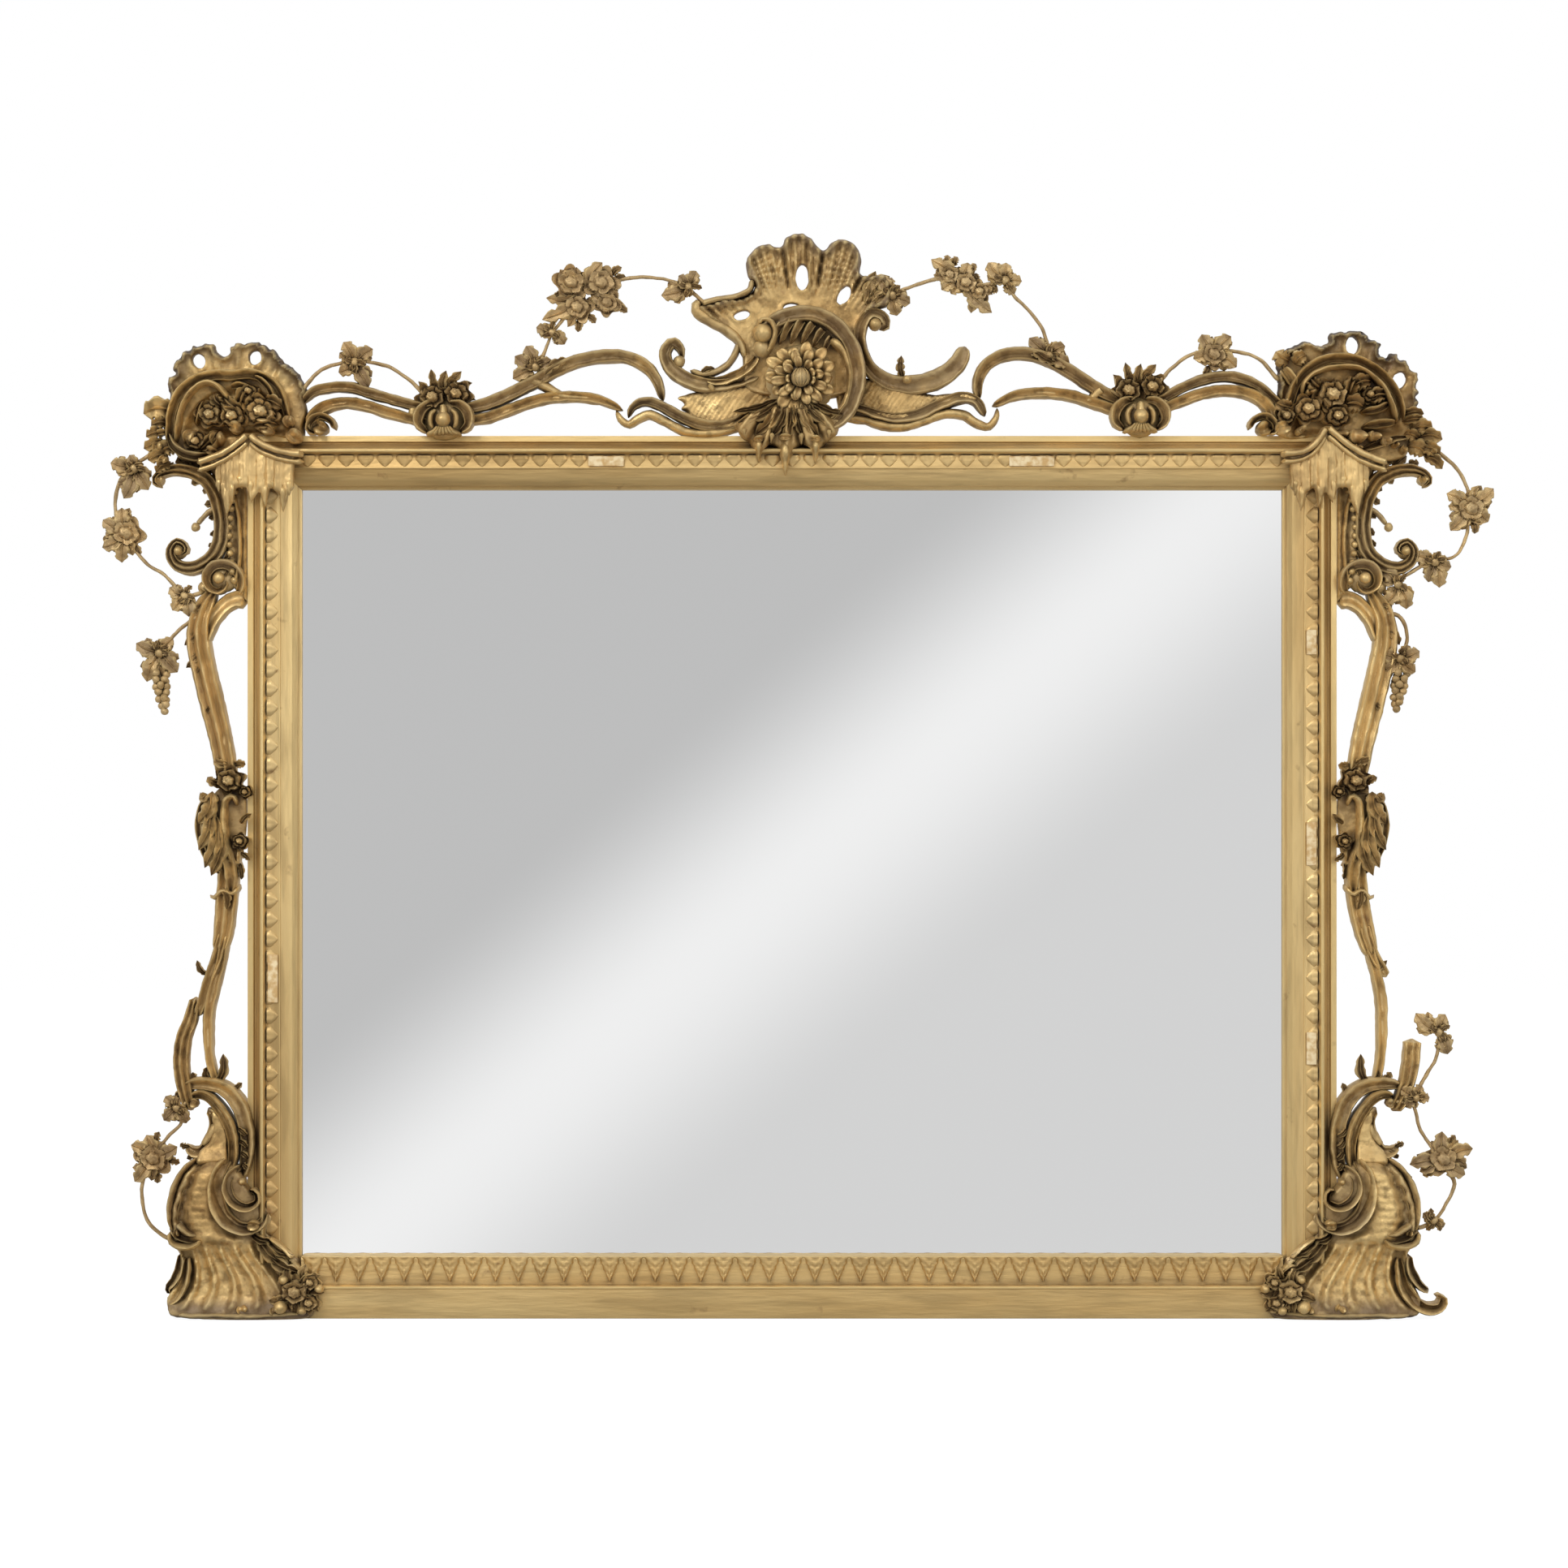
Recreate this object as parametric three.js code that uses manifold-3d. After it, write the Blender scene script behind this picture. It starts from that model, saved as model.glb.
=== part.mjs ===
// Gilt overmantel mirror: a moulded frame with a carved shell crest, scroll brackets
// down both sides, rocaille feet and flower garlands.
// Millimetres, +Z up, the front faces -Y. The origin is on the underside of the bottom
// rail, at mid width and mid depth, where the frame stands on its shelf.

import * as THREE from 'three';
import { mergeVertices } from 'three/addons/utils/BufferGeometryUtils.js';
import Module from 'manifold-3d';

const wasm = await Module();
wasm.setup();

// ---------------------------------------------------------------- driving dimensions

const sightWidth = 1268;          // clear glass inside the frame
const sightHeight = 990;
const railWidth = 70;             // top rail and stiles
const bottomRailHeight = 79;
const railDepth = 50;
const rebateLap = 12;             // how far the frame laps over the glass
const rebateDepth = 15;
const glassThickness = 5;
const boardThickness = 8;
const boardCount = 3;
const fitGap = 0.3;               // between pieces that are cut to meet
const bandThickness = 4;          // applied leaf bands
const leafPitch = 25;             // top rail and stiles
const bottomLeafPitch = 29.5;
const bracketTop = 210;           // the side brackets start this far below the frame's top
const bracketFoot = 296;          // and end this high above the shelf
const archOuter = 78;             // where the top arches start, inside the frame's corner
const archInnerLeft = 153;        // and where they end, beside the crest
const archInnerRight = 240;
const archReach = { left: archInnerLeft, right: archInnerRight };
const carvingBack = 14;           // the carved work stands this far behind mid depth
const stemThickness = 5.5;        // garland stems
const strapWidth = 20;
const strapLength = 62;
const strapThickness = 1.6;
const strapDrop = 170;            // ring pivot below the frame's top
const ringWire = 3;
const ringWidth = 30;
const ringDrop = 27;
const pivotBehind = 4.9;          // ring pivot behind the frame's back

const halfOuter = sightWidth / 2 + railWidth;
const sightTop = bottomRailHeight + sightHeight;
const frameTop = sightTop + railWidth;
const backFace = railDepth / 2;
const frontFace = -railDepth / 2;

// ---------------------------------------------------------------- finishes

const finish = (color, roughness, metalness) => ({ color, roughness, metalness });
const railGilding = finish(0xc9a765, 0.38, 0.75);
const carvedGilding = finish(0xb08b4c, 0.48, 0.7);
const garlandGilding = finish(0xa98449, 0.52, 0.68);
const silveredGlass = finish(0xd4d6d6, 0.04, 1.0);
const bareBoard = finish(0x8a6a45, 0.85, 0.0);
const brass = finish(0xa98a4a, 0.35, 0.9);

// ---------------------------------------------------------------- solids

const sliver = 0.08;               // joins and cuts leave no edge shorter than this

// A closed mesh as a solid that faces outwards, with its shared vertices welded.
function toSolid(geometry) {
  const bare = geometry.clone();
  bare.deleteAttribute('normal');
  bare.deleteAttribute('uv');
  const welded = mergeVertices(bare, 1e-4);
  const corners = welded.attributes.position;
  const faces = Uint32Array.from(welded.index.array);
  const [a, b, c] = [new THREE.Vector3(), new THREE.Vector3(), new THREE.Vector3()];
  let volume = 0;
  for (let i = 0; i < faces.length; i += 3) {
    a.fromBufferAttribute(corners, faces[i]);
    b.fromBufferAttribute(corners, faces[i + 1]);
    c.fromBufferAttribute(corners, faces[i + 2]);
    volume += a.dot(b.cross(c));
  }
  if (volume < 0) {
    for (let i = 0; i < faces.length; i += 3) {
      [faces[i + 1], faces[i + 2]] = [faces[i + 2], faces[i + 1]];
    }
  }
  const vertProperties = Float32Array.from(corners.array);
  const mesh = new wasm.Mesh({ numProp: 3, vertProperties, triVerts: faces });
  mesh.tolerance = sliver;
  return new wasm.Manifold(mesh);
}

// The vertices and triangles of a solid, of its largest body alone where a cut left crumbs.
function toGeometry(solid) {
  const mesh = solid.getMesh();
  const group = Array.from({ length: mesh.numVert }, (_, i) => i);
  const rootOf = (i) => {
    while (group[i] !== i) {
      i = group[i];
    }
    return i;
  };
  for (let i = 0; i < mesh.triVerts.length; i += 3) {
    const root = rootOf(mesh.triVerts[i]);
    group[rootOf(mesh.triVerts[i + 1])] = root;
    group[rootOf(mesh.triVerts[i + 2])] = root;
  }
  const volumes = new Map();
  const corner = (i) => new THREE.Vector3().fromArray(mesh.vertProperties, i * mesh.numProp);
  for (let i = 0; i < mesh.triVerts.length; i += 3) {
    const [p, q, r] = [0, 1, 2].map((k) => corner(mesh.triVerts[i + k]));
    const root = rootOf(mesh.triVerts[i]);
    volumes.set(root, (volumes.get(root) ?? 0) + p.dot(q.cross(r)));
  }
  const largest = [...volumes].sort((one, other) => other[1] - one[1])[0][0];
  const kept = [];
  for (let i = 0; i < mesh.triVerts.length; i += 3) {
    if (rootOf(mesh.triVerts[i]) === largest) {
      kept.push(mesh.triVerts[i], mesh.triVerts[i + 1], mesh.triVerts[i + 2]);
    }
  }
  const geometry = new THREE.BufferGeometry();
  geometry.setAttribute('position', new THREE.BufferAttribute(mesh.vertProperties.slice(), 3));
  geometry.setIndex(kept);
  return mergeVertices(geometry, 1e-4);
}

const join = (...solids) => solids.flat().reduce((whole, next) => whole.add(next));

// The solid with every face moved out by a distance, as the cutter for what stays clear of it.
// Each corner moves to where the moved faces round it meet, as nearly as they do.
function grown(geometry, distance) {
  const corners = geometry.attributes.position;
  const index = geometry.index.array;
  const empty = () => ({ squares: new Float64Array(9), total: new THREE.Vector3() });
  const sums = Array.from({ length: corners.count }, empty);
  for (let i = 0; i < index.length; i += 3) {
    const triangle = [0, 1, 2].map((k) => {
      return new THREE.Vector3().fromBufferAttribute(corners, index[i + k]);
    });
    const normal = new THREE.Triangle(...triangle).getNormal(new THREE.Vector3());
    for (let k = 0; k < 3; k++) {
      const toNext = triangle[(k + 1) % 3].clone().sub(triangle[k]);
      const toLast = triangle[(k + 2) % 3].clone().sub(triangle[k]);
      const angle = toNext.angleTo(toLast);
      const { squares, total } = sums[index[i + k]];
      const parts = normal.toArray();
      squares.forEach((_, at) => {
        squares[at] += angle * parts[Math.floor(at / 3)] * parts[at % 3];
      });
      total.addScaledVector(normal, angle);
    }
  }
  const moved = new Float32Array(corners.array);
  sums.forEach(({ squares, total }, i) => {
    const slack = 0.01 * (squares[0] + squares[4] + squares[8]);
    const [a, b, c, d, e, f, g, h, k] = squares;
    const solve = new THREE.Matrix3(a + slack, b, c, d, e + slack, f, g, h, k + slack).invert();
    const shift = total.applyMatrix3(solve).multiplyScalar(1.05 * distance);
    shift.clampLength(0, 3 * distance);
    moved[3 * i] += shift.x;
    moved[3 * i + 1] += shift.y;
    moved[3 * i + 2] += shift.z;
  });
  const cutter = new THREE.BufferGeometry();
  cutter.setAttribute('position', new THREE.BufferAttribute(moved, 3));
  cutter.setIndex([...index]);
  return toSolid(cutter);
}

// ---------------------------------------------------------------- fitting pieces together

const mirror = new THREE.Group();
const fitted = [];

// Adds a piece. It is cut back from each piece named in clearOf that it meets, by fitGap.
function add(name, solid, look, clearOf = []) {
  let piece = solid;
  for (const other of fitted) {
    const wanted = clearOf.some((start) => other.name.startsWith(start));
    const box = solid.boundingBox();
    const reach = new THREE.Box3(new THREE.Vector3(...box.min), new THREE.Vector3(...box.max));
    if (wanted && reach.intersectsBox(other.box)) {
      other.cutter ??= grown(other.geometry, fitGap);
      piece = piece.subtract(other.cutter);
    }
  }
  const geometry = toGeometry(piece);
  geometry.computeBoundingBox();
  const box = geometry.boundingBox.clone().expandByScalar(fitGap);
  fitted.push({ name, geometry, box });
  const mesh = new THREE.Mesh(geometry, new THREE.MeshStandardMaterial(look));
  mesh.name = name;
  mirror.add(mesh);
}

// ---------------------------------------------------------------- building shapes

function block([x0, y0, z0], [x1, y1, z1]) {
  const geometry = new THREE.BoxGeometry(x1 - x0, y1 - y0, z1 - z0);
  geometry.translate((x0 + x1) / 2, (y0 + y1) / 2, (z0 + z1) / 2);
  return toSolid(geometry);
}

const shapeOf = (points) => new THREE.Shape(points.map(([x, y]) => new THREE.Vector2(x, y)));

const holeSides = 8;
const holeMargin = 20;

// A flat plate with an outline in the plane of the frame, between two depths.
function plate(outline, back, front) {
  const settings = { depth: back - front, bevelEnabled: false };
  const geometry = new THREE.ExtrudeGeometry(shapeOf(outline), settings);
  geometry.rotateX(Math.PI / 2);
  geometry.translate(0, back, 0);
  return toSolid(geometry);
}

// A cutter for an oval hole through a plate: its middle, width, height and lean in radians.
function hole([x, z], across, high, lean) {
  const rim = Array.from({ length: holeSides }, (_, i) => {
    const turn = (2 * Math.PI * i) / holeSides;
    const point = new THREE.Vector2((across / 2) * Math.cos(turn), (high / 2) * Math.sin(turn));
    point.rotateAround(new THREE.Vector2(), lean);
    return [x + point.x, z + point.y];
  });
  return plate(rim, carvingBack + holeMargin, -carvingBack - holeMargin);
}

const routeOf = (points) => {
  const places = points.map(([x, z]) => new THREE.Vector3(x, 0, z));
  return new THREE.CatmullRomCurve3(places, false, 'centripetal');
};

// Sections across a route: x runs across it, from -0.5 to 0.5, and y from its back, 0, to
// its front, 1.
const fluted = [[-0.5, 0], [0.5, 0], [0.36, 1], [0, 0.72], [-0.36, 1]];
const rounded = [[-0.5, 0], [0.5, 0], [0.3, 1], [-0.3, 1]];
const wire = [[-0.5, 0], [0.5, 0], [0, 1]];

// A bar that follows a route, with a width and a depth at its start, middle and end.
function bar(points, { section = fluted, width, depth, back = carvingBack, steps = 12 }) {
  const route = routeOf(points);
  const sizeAt = ([start, middle, end], share) => {
    return THREE.MathUtils.lerp(share < 0.5 ? start : end, middle, 1 - Math.abs(1 - 2 * share));
  };
  const settings = { depth: 1, steps, bevelEnabled: false };
  const geometry = new THREE.ExtrudeGeometry(shapeOf(section), settings);
  const corners = geometry.attributes.position;
  for (let i = 0; i < corners.count; i++) {
    const share = corners.getZ(i);
    const centre = route.getPointAt(share);
    const heading = route.getTangentAt(share);
    const across = corners.getX(i) * sizeAt(width, share);
    const proud = corners.getY(i) * sizeAt(depth, share);
    corners.setXYZ(i, centre.x - heading.z * across, back - proud, centre.z + heading.x * across);
  }
  return toSolid(geometry);
}

const even = (size) => [size, size, size];

const smallBall = 14;

// A pointed leaf from its root to its tip, widest near the middle.
function leaf([x0, z0], [x1, z1], width, back, thickness = 5) {
  const geometry = new THREE.OctahedronGeometry(1);
  const length = Math.hypot(x1 - x0, z1 - z0);
  geometry.scale(length / 2, thickness / 2, width / 2);
  geometry.rotateY(-Math.atan2(z1 - z0, x1 - x0));
  geometry.translate((x0 + x1) / 2, back - thickness / 2, (z0 + z1) / 2);
  return toSolid(geometry);
}

// A ball squashed front to back, with fewer faces when it is small.
function ball([x, z], radius, back, front) {
  const [around, rows] = radius > smallBall ? [7, 4] : [5, 3];
  const geometry = new THREE.SphereGeometry(1, around, rows);
  geometry.rotateX(Math.PI / 2);
  geometry.scale(radius, (back - front) / 2, radius);
  geometry.translate(x, (back + front) / 2, z);
  return toSolid(geometry);
}

// A flower head that faces the front: a lobed dish of petals round a raised eye.
function flower([x, z], radius, petals, back, front) {
  const profile = [[0, 0], [1, 0.4], [0.3, 0.6], [0, 1]];
  const points = profile.map(([out, height]) => new THREE.Vector2(out, height));
  const geometry = new THREE.LatheGeometry(points, 2 * petals);
  const corners = geometry.attributes.position;
  for (let i = 0; i < corners.count; i++) {
    const out = Math.hypot(corners.getX(i), corners.getZ(i));
    const turn = Math.atan2(corners.getX(i), corners.getZ(i));
    const lobed = out > 0.5 ? 1 + 0.16 * (Math.cos(petals * turn) - 1) : 1;
    const reach = radius * out * lobed;
    const depth = back - (back - front) * corners.getY(i);
    corners.setXYZ(i, x + reach * Math.sin(turn), depth, z + reach * Math.cos(turn));
  }
  return toSolid(geometry);
}

// ---------------------------------------------------------------- places on the frame

// Left is -1 and right is +1. Each map turns a point near its anchor into [x, z]. Depths are
// given as y from the middle of the rails' depth, where the shelf side is +y and the front -y.
const sides = [['left', -1], ['right', 1]];
const nearCorner = (side) => ([out, up]) => [side * (halfOuter + out), frameTop + up];
const nearFoot = (side) => ([out, up]) => [side * (halfOuter + out), up];
const nearScroll = (side) => ([out, up]) => [side * (halfOuter + out), bracketFoot + up];
const nearCrest = ([along, up]) => [along, frameTop + up];
const bracketRise = frameTop - bracketTop - bracketFoot;
const alongSide = (side) => ([out, share]) => {
  return [side * (halfOuter + out), bracketFoot + (bracketRise * share) / 100];
};
const alongTop = (side) => ([share, up]) => {
  const reach = side < 0 ? archReach.left : archReach.right;
  const start = halfOuter - archOuter;
  return [side * (start + ((reach - start) * share) / 100), frameTop + up];
};

// ---------------------------------------------------------------- rails

// Moulding sections: distance from the rail's outer edge, and height from its back.
const bedHeight = railDepth - 10;
const bedStart = 25;
const bedWidth = 16;
const bedEnd = bedStart + bedWidth;
const sightEdge = 20;
const railSection = [
  [0, 0], [0, railDepth - 20], [8, railDepth - 20], [12, railDepth - 11], [17, railDepth - 6],
  [20, railDepth], [bedStart, railDepth - 4], [bedStart, bedHeight], [bedEnd, bedHeight],
  [bedEnd, bedHeight - 3], [0.6 * bedEnd + 0.4 * railWidth, bedHeight - 6],
  [0.2 * bedEnd + 0.8 * railWidth, sightEdge + 5], [railWidth, sightEdge], [railWidth, 0],
];
const plinthTop = 40;
const bottomBed = railDepth - 12;
const bottomSection = [
  [0, 0], [0, railDepth - 2], [2, railDepth - 1], [plinthTop, railDepth - 1],
  [plinthTop + 1.5, railDepth], [plinthTop + 3, railDepth - 1], [plinthTop + 3, bottomBed],
  [bottomRailHeight, bottomBed], [bottomRailHeight, 0],
];

// A rail's section drawn out along its length: place turns (inwards, end, height) into x, y, z.
function rail(section, place) {
  const settings = { depth: 1, steps: 1, bevelEnabled: false };
  const geometry = new THREE.ExtrudeGeometry(shapeOf(section), settings);
  const corners = geometry.attributes.position;
  for (let i = 0; i < corners.count; i++) {
    const [inwards, height, end] = [corners.getX(i), corners.getY(i), corners.getZ(i)];
    const [x, z] = place(inwards, end);
    corners.setXYZ(i, x, backFace - height, z);
  }
  return toSolid(geometry);
}

const mitreGap = fitGap / 2;
const rebateHalf = sightWidth / 2 + rebateLap;
const rebateFloor = bottomRailHeight - rebateLap;
const rebateTop = sightTop + rebateLap;
const rebateFace = backFace - rebateDepth;
const rebate = block([-rebateHalf, rebateFace, rebateFloor], [rebateHalf, backFace + 1, rebateTop]);

const topRail = rail(railSection, (inwards, end) => {
  return [(2 * end - 1) * (halfOuter - inwards - mitreGap), frameTop - inwards];
});
add('top_rail', topRail.subtract(rebate), railGilding);
const bottomRail = rail(bottomSection, (inwards, end) => {
  return [(2 * end - 1) * (sightWidth / 2 - mitreGap), inwards];
});
add('bottom_rail', bottomRail.subtract(rebate), railGilding);
for (const [word, side] of sides) {
  const stile = rail(railSection, (inwards, end) => {
    return [side * (halfOuter - inwards), end * (frameTop - inwards - mitreGap)];
  });
  add(`${word}_stile`, stile.subtract(rebate), railGilding);
}

// ---------------------------------------------------------------- leaf bands

// A strip with a row of pointed leaves, from start to end along its bed. The tips lie
// on the side that tipSide names, one for each pitch.
function leafBand(start, end, base, reach, pitch, toPlane) {
  const count = Math.round((end - start) / pitch);
  const step = (end - start) / count;
  const edge = [[start, base]];
  for (let i = 0; i < count; i++) {
    edge.push([start + i * step, base + 0.55 * reach], [start + (i + 0.5) * step, base + reach]);
  }
  edge.push([end, base + 0.55 * reach], [end, base]);
  return edge.map(toPlane);
}

const bandBack = backFace - bedHeight;
const bandReach = bedWidth - 2;
const bandEnd = halfOuter - bedStart - bedWidth;
const topBand = leafBand(
  -bandEnd, bandEnd, bedStart + 1, bandReach, leafPitch,
  ([along, inwards]) => [along, frameTop - inwards],
);
add('top_leaf_band', plate(topBand, bandBack, bandBack - bandThickness), railGilding);
const sideBandTop = frameTop - bedEnd;
for (const [word, side] of sides) {
  const band = leafBand(
    bottomRailHeight, sideBandTop, bedStart + 1, bandReach, leafPitch,
    ([along, inwards]) => [side * (halfOuter - inwards), along],
  );
  add(`${word}_leaf_band`, plate(band, bandBack, bandBack - bandThickness), railGilding);
}
const bottomBandBack = backFace - bottomBed;
const bottomBandReach = bottomRailHeight - plinthTop - 6;
const bottomBandHalf = sightWidth / 2 - 1;
const bottomBand = leafBand(
  -bottomBandHalf, bottomBandHalf, 1, bottomBandReach, bottomLeafPitch,
  ([along, down]) => [along, bottomRailHeight - down],
);
const bottomBandFront = bottomBandBack - 2 * bandThickness;
add('bottom_leaf_band', plate(bottomBand, bottomBandBack, bottomBandFront), railGilding);

// ---------------------------------------------------------------- glass and back boards

const glassHalf = rebateHalf - 2;
const glassFront = rebateFace + fitGap;
const glassBack = glassFront + glassThickness;
const glassLow = rebateFloor + fitGap;
const glassHigh = rebateTop - 2;
const glass = block([-glassHalf, glassFront, glassLow], [glassHalf, glassBack, glassHigh]);
add('mirror_plate', glass, silveredGlass);
const boardWidth = (2 * glassHalf) / boardCount;
for (let i = 0; i < boardCount; i++) {
  const left = -glassHalf + i * boardWidth + fitGap / 2;
  const low = [left, glassBack + fitGap, glassLow];
  const high = [left + boardWidth - fitGap, glassBack + fitGap + boardThickness, glassHigh];
  add(`back_board_${i + 1}`, block(low, high), bareBoard);
}

// ---------------------------------------------------------------- hangers

// A strap on the back of each stile, rolled round the bar of a D-shaped ring that hangs from it.
const pivotY = backFace + pivotBehind;
const pivotZ = frameTop - strapDrop;
const rollRadius = pivotBehind - strapThickness + fitGap / 2;
const boreRadius = ringWire / 2 + fitGap;
for (const [word, side] of sides) {
  const centre = side * (halfOuter - (railWidth - rebateLap) / 2);
  const plateLow = [centre - strapWidth / 2, backFace, pivotZ - strapLength];
  const strap = block(plateLow, [centre + strapWidth / 2, backFace + strapThickness, pivotZ]);
  const across = (radius, length) => {
    const geometry = new THREE.CylinderGeometry(radius, radius, length, 12);
    geometry.rotateZ(Math.PI / 2);
    geometry.translate(centre, pivotY, pivotZ);
    return toSolid(geometry);
  };
  const rolled = join(strap, across(rollRadius, strapWidth));
  add(`hanger_strap_${word}`, rolled.subtract(across(boreRadius, 2 * strapWidth)), brass);
  const ring = new THREE.TorusGeometry(ringWidth / 2, ringWire / 2, 8, 16);
  const corners = ring.attributes.position;
  for (let i = 0; i < corners.count; i++) {
    const turn = Math.atan2(corners.getY(i), corners.getX(i));
    const proud = Math.hypot(corners.getX(i), corners.getY(i)) - ringWidth / 2;
    const onBar = Math.sin(turn) > -0.01;
    const lean = onBar && Math.sin(turn) < 0.01 ? Math.sign(Math.cos(turn)) : 0;
    const outwards = onBar ? { x: lean, y: 1 } : { x: Math.cos(turn), y: Math.sin(turn) };
    const half = onBar && !lean ? ringWidth / 2 - ringWire : ringWidth / 2;
    const x = centre + half * Math.cos(turn) + proud * outwards.x;
    const drop = onBar ? 0 : ringDrop * Math.sin(turn);
    corners.setXYZ(i, x, pivotY + corners.getZ(i), pivotZ + drop + proud * outwards.y);
  }
  add(`hanger_ring_${word}`, toSolid(ring), brass);
}

// ---------------------------------------------------------------- crest

const crestFront = -10;
const flowerCentre = nearCrest([13, 71]);
const crestPetals = 11;
const crestRadius = 48;
add('crest_flower', join(
  flower(flowerCentre, crestRadius, crestPetals, -12, -46),
  ball(flowerCentre, 15, -25, -58),
), carvedGilding);

const crescentRoute = [
  [-36, 118], [-27, 142], [-8, 151], [17, 153], [44, 145], [65, 128], [78, 102], [82, 71],
  [76, 42], [62, 21], [38, 7],
].map(nearCrest);
add('crest_crescent', join(
  bar(crescentRoute, { width: [16, 22, 12], depth: [30, 38, 30], back: -6, steps: 14 }),
  ball(nearCrest([-36, 118]), 17, 0, -40),
), carvedGilding, ['crest_flower', 'top_rail']);

const shellOutline = [
  [-60, 60], [-64, 102], [-71, 123], [-87, 139], [-108, 150], [-122, 167], [-105, 171], [-88, 177],
  [-64, 178], [-48, 192], [-57, 207], [-59, 226], [-48, 242], [-33, 248], [-15, 244], [-8, 256],
  [6, 262], [21, 258], [34, 244], [42, 240], [52, 251], [67, 254], [82, 246], [89, 230],
  [88, 210], [101, 207], [118, 208], [128, 192], [125, 170], [99, 159], [83, 121], [84, 60],
].map(nearCrest);
const shellHoles = [
  [[13, 205], 17, 34, 0], [[67, 182], 15, 27, -0.5], [[-65, 156], 22, 12, 0.3], [[-1, 166], 22, 11, 0],
];
const shellRibs = [
  [[2, 152], [-14, 190], [-34, 238]], [[4, 160], [-4, 215], [2, 252]],
  [[24, 160], [28, 200], [18, 250]],
  [[34, 158], [48, 200], [60, 244]], [[44, 156], [74, 200], [80, 232]],
  [[60, 140], [92, 172], [118, 192]],
  [[-30, 150], [-70, 172], [-112, 164]],
];
const crestShell = join(
  plate(shellOutline, carvingBack, crestFront),
  shellRibs.map((rib) => bar(rib.map(nearCrest), {
    section: rounded, width: [7, 12, 17], depth: [20, 24, 16], back: 6, steps: 1,
  })),
);
const crestOpenings = join(shellHoles.map(([at, ...oval]) => hole(nearCrest(at), ...oval)));
add('crest_shell', crestShell.subtract(crestOpenings), carvedGilding, ['crest_']);

const crestScrolls = {
  left: [
    [-142, 98], [-143, 113], [-154, 122], [-163, 108], [-158, 90], [-141, 77], [-120, 67], [-96, 65],
    [-71, 69], [-40, 80],
  ],
  right: [
    [220, 112], [206, 87], [183, 70], [151, 64], [122, 70], [98, 89], [87, 116], [90, 144], [102, 159],
    [118, 154], [122, 142],
  ],
};
const crestWings = {
  left: {
    edge: [
      [-230, 37], [-223, 21], [-211, 14], [-200, 22], [-185, 28], [-164, 19], [-138, 5], [-100, 4],
      [-60, 12],
    ],
    ridge: [
      [-214, 24], [-206, 38], [-188, 45], [-166, 37], [-138, 22], [-106, 13], [-75, 17], [-43, 37],
    ],
    panel: [
      [-143, 24], [-138, 45], [-120, 58], [-90, 62], [-54, 66], [-30, 72], [-27, 22], [-48, 10],
      [-80, 3], [-111, 5],
    ],
  },
  right: {
    edge: [
      [64, 24], [90, 22], [114, 15], [141, 12], [170, 20], [198, 29], [223, 27], [240, 16],
      [254, 13], [266, 24], [268, 39],
    ],
    ridge: [
      [66, 42], [83, 37], [109, 28], [135, 23], [164, 28], [193, 41], [219, 50], [238, 45],
      [250, 26],
    ],
    panel: [
      [64, 72], [104, 74], [141, 62], [183, 54], [225, 56], [240, 47], [214, 40], [172, 24],
      [130, 16], [64, 24],
    ],
  },
};
for (const [word] of sides) {
  const scroll = crestScrolls[word].map(nearCrest);
  const eye = word === 'left' ? scroll[0] : scroll.at(-1);
  const tip = word === 'left' ? [9, 18, 20] : [14, 22, 11];
  const { edge, ridge, panel } = crestWings[word];
  add(`crest_scroll_${word}`, join(
    bar(scroll, { section: rounded, width: tip, depth: [24, 32, 24], steps: 15 }),
    ball(eye, 8, carvingBack, -14),
  ), carvedGilding, ['crest_', 'top_rail']);
  add(`crest_wing_${word}`, join(
    plate(panel.map(nearCrest), carvingBack - 2, -8),
    bar(ridge.map(nearCrest), {
      section: rounded, width: [9, 14, 12], depth: [24, 32, 26], steps: 10,
    }),
    bar(edge.map(nearCrest), {
      section: rounded, width: [9, 12, 8], depth: [22, 26, 22], steps: 12,
    }),
  ), carvedGilding, ['crest_', 'top_']);
}

const dropOutline = [
  [-75, 14], [-66, -4], [-58, -10], [-43, -35], [-32, -12], [-22, -20], [-9, -52], [4, -22], [14, -14],
  [30, -37], [42, -8], [57, 2], [62, 20], [30, 34], [-20, 36], [-52, 30],
].map(nearCrest);
const dropRidges = [[[-56, 20], [-43, -30]], [[-10, 26], [-9, -46]], [[38, 22], [30, -32]]];
add('crest_drops', join(
  plate(dropOutline, -2, -30),
  dropRidges.map((ridge) => bar(ridge.map(nearCrest), {
    section: rounded, width: [22, 18, 6], depth: [40, 38, 30], back: -2, steps: 1,
  })),
), carvedGilding, ['crest_', 'top_']);

// ---------------------------------------------------------------- garlands

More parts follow.
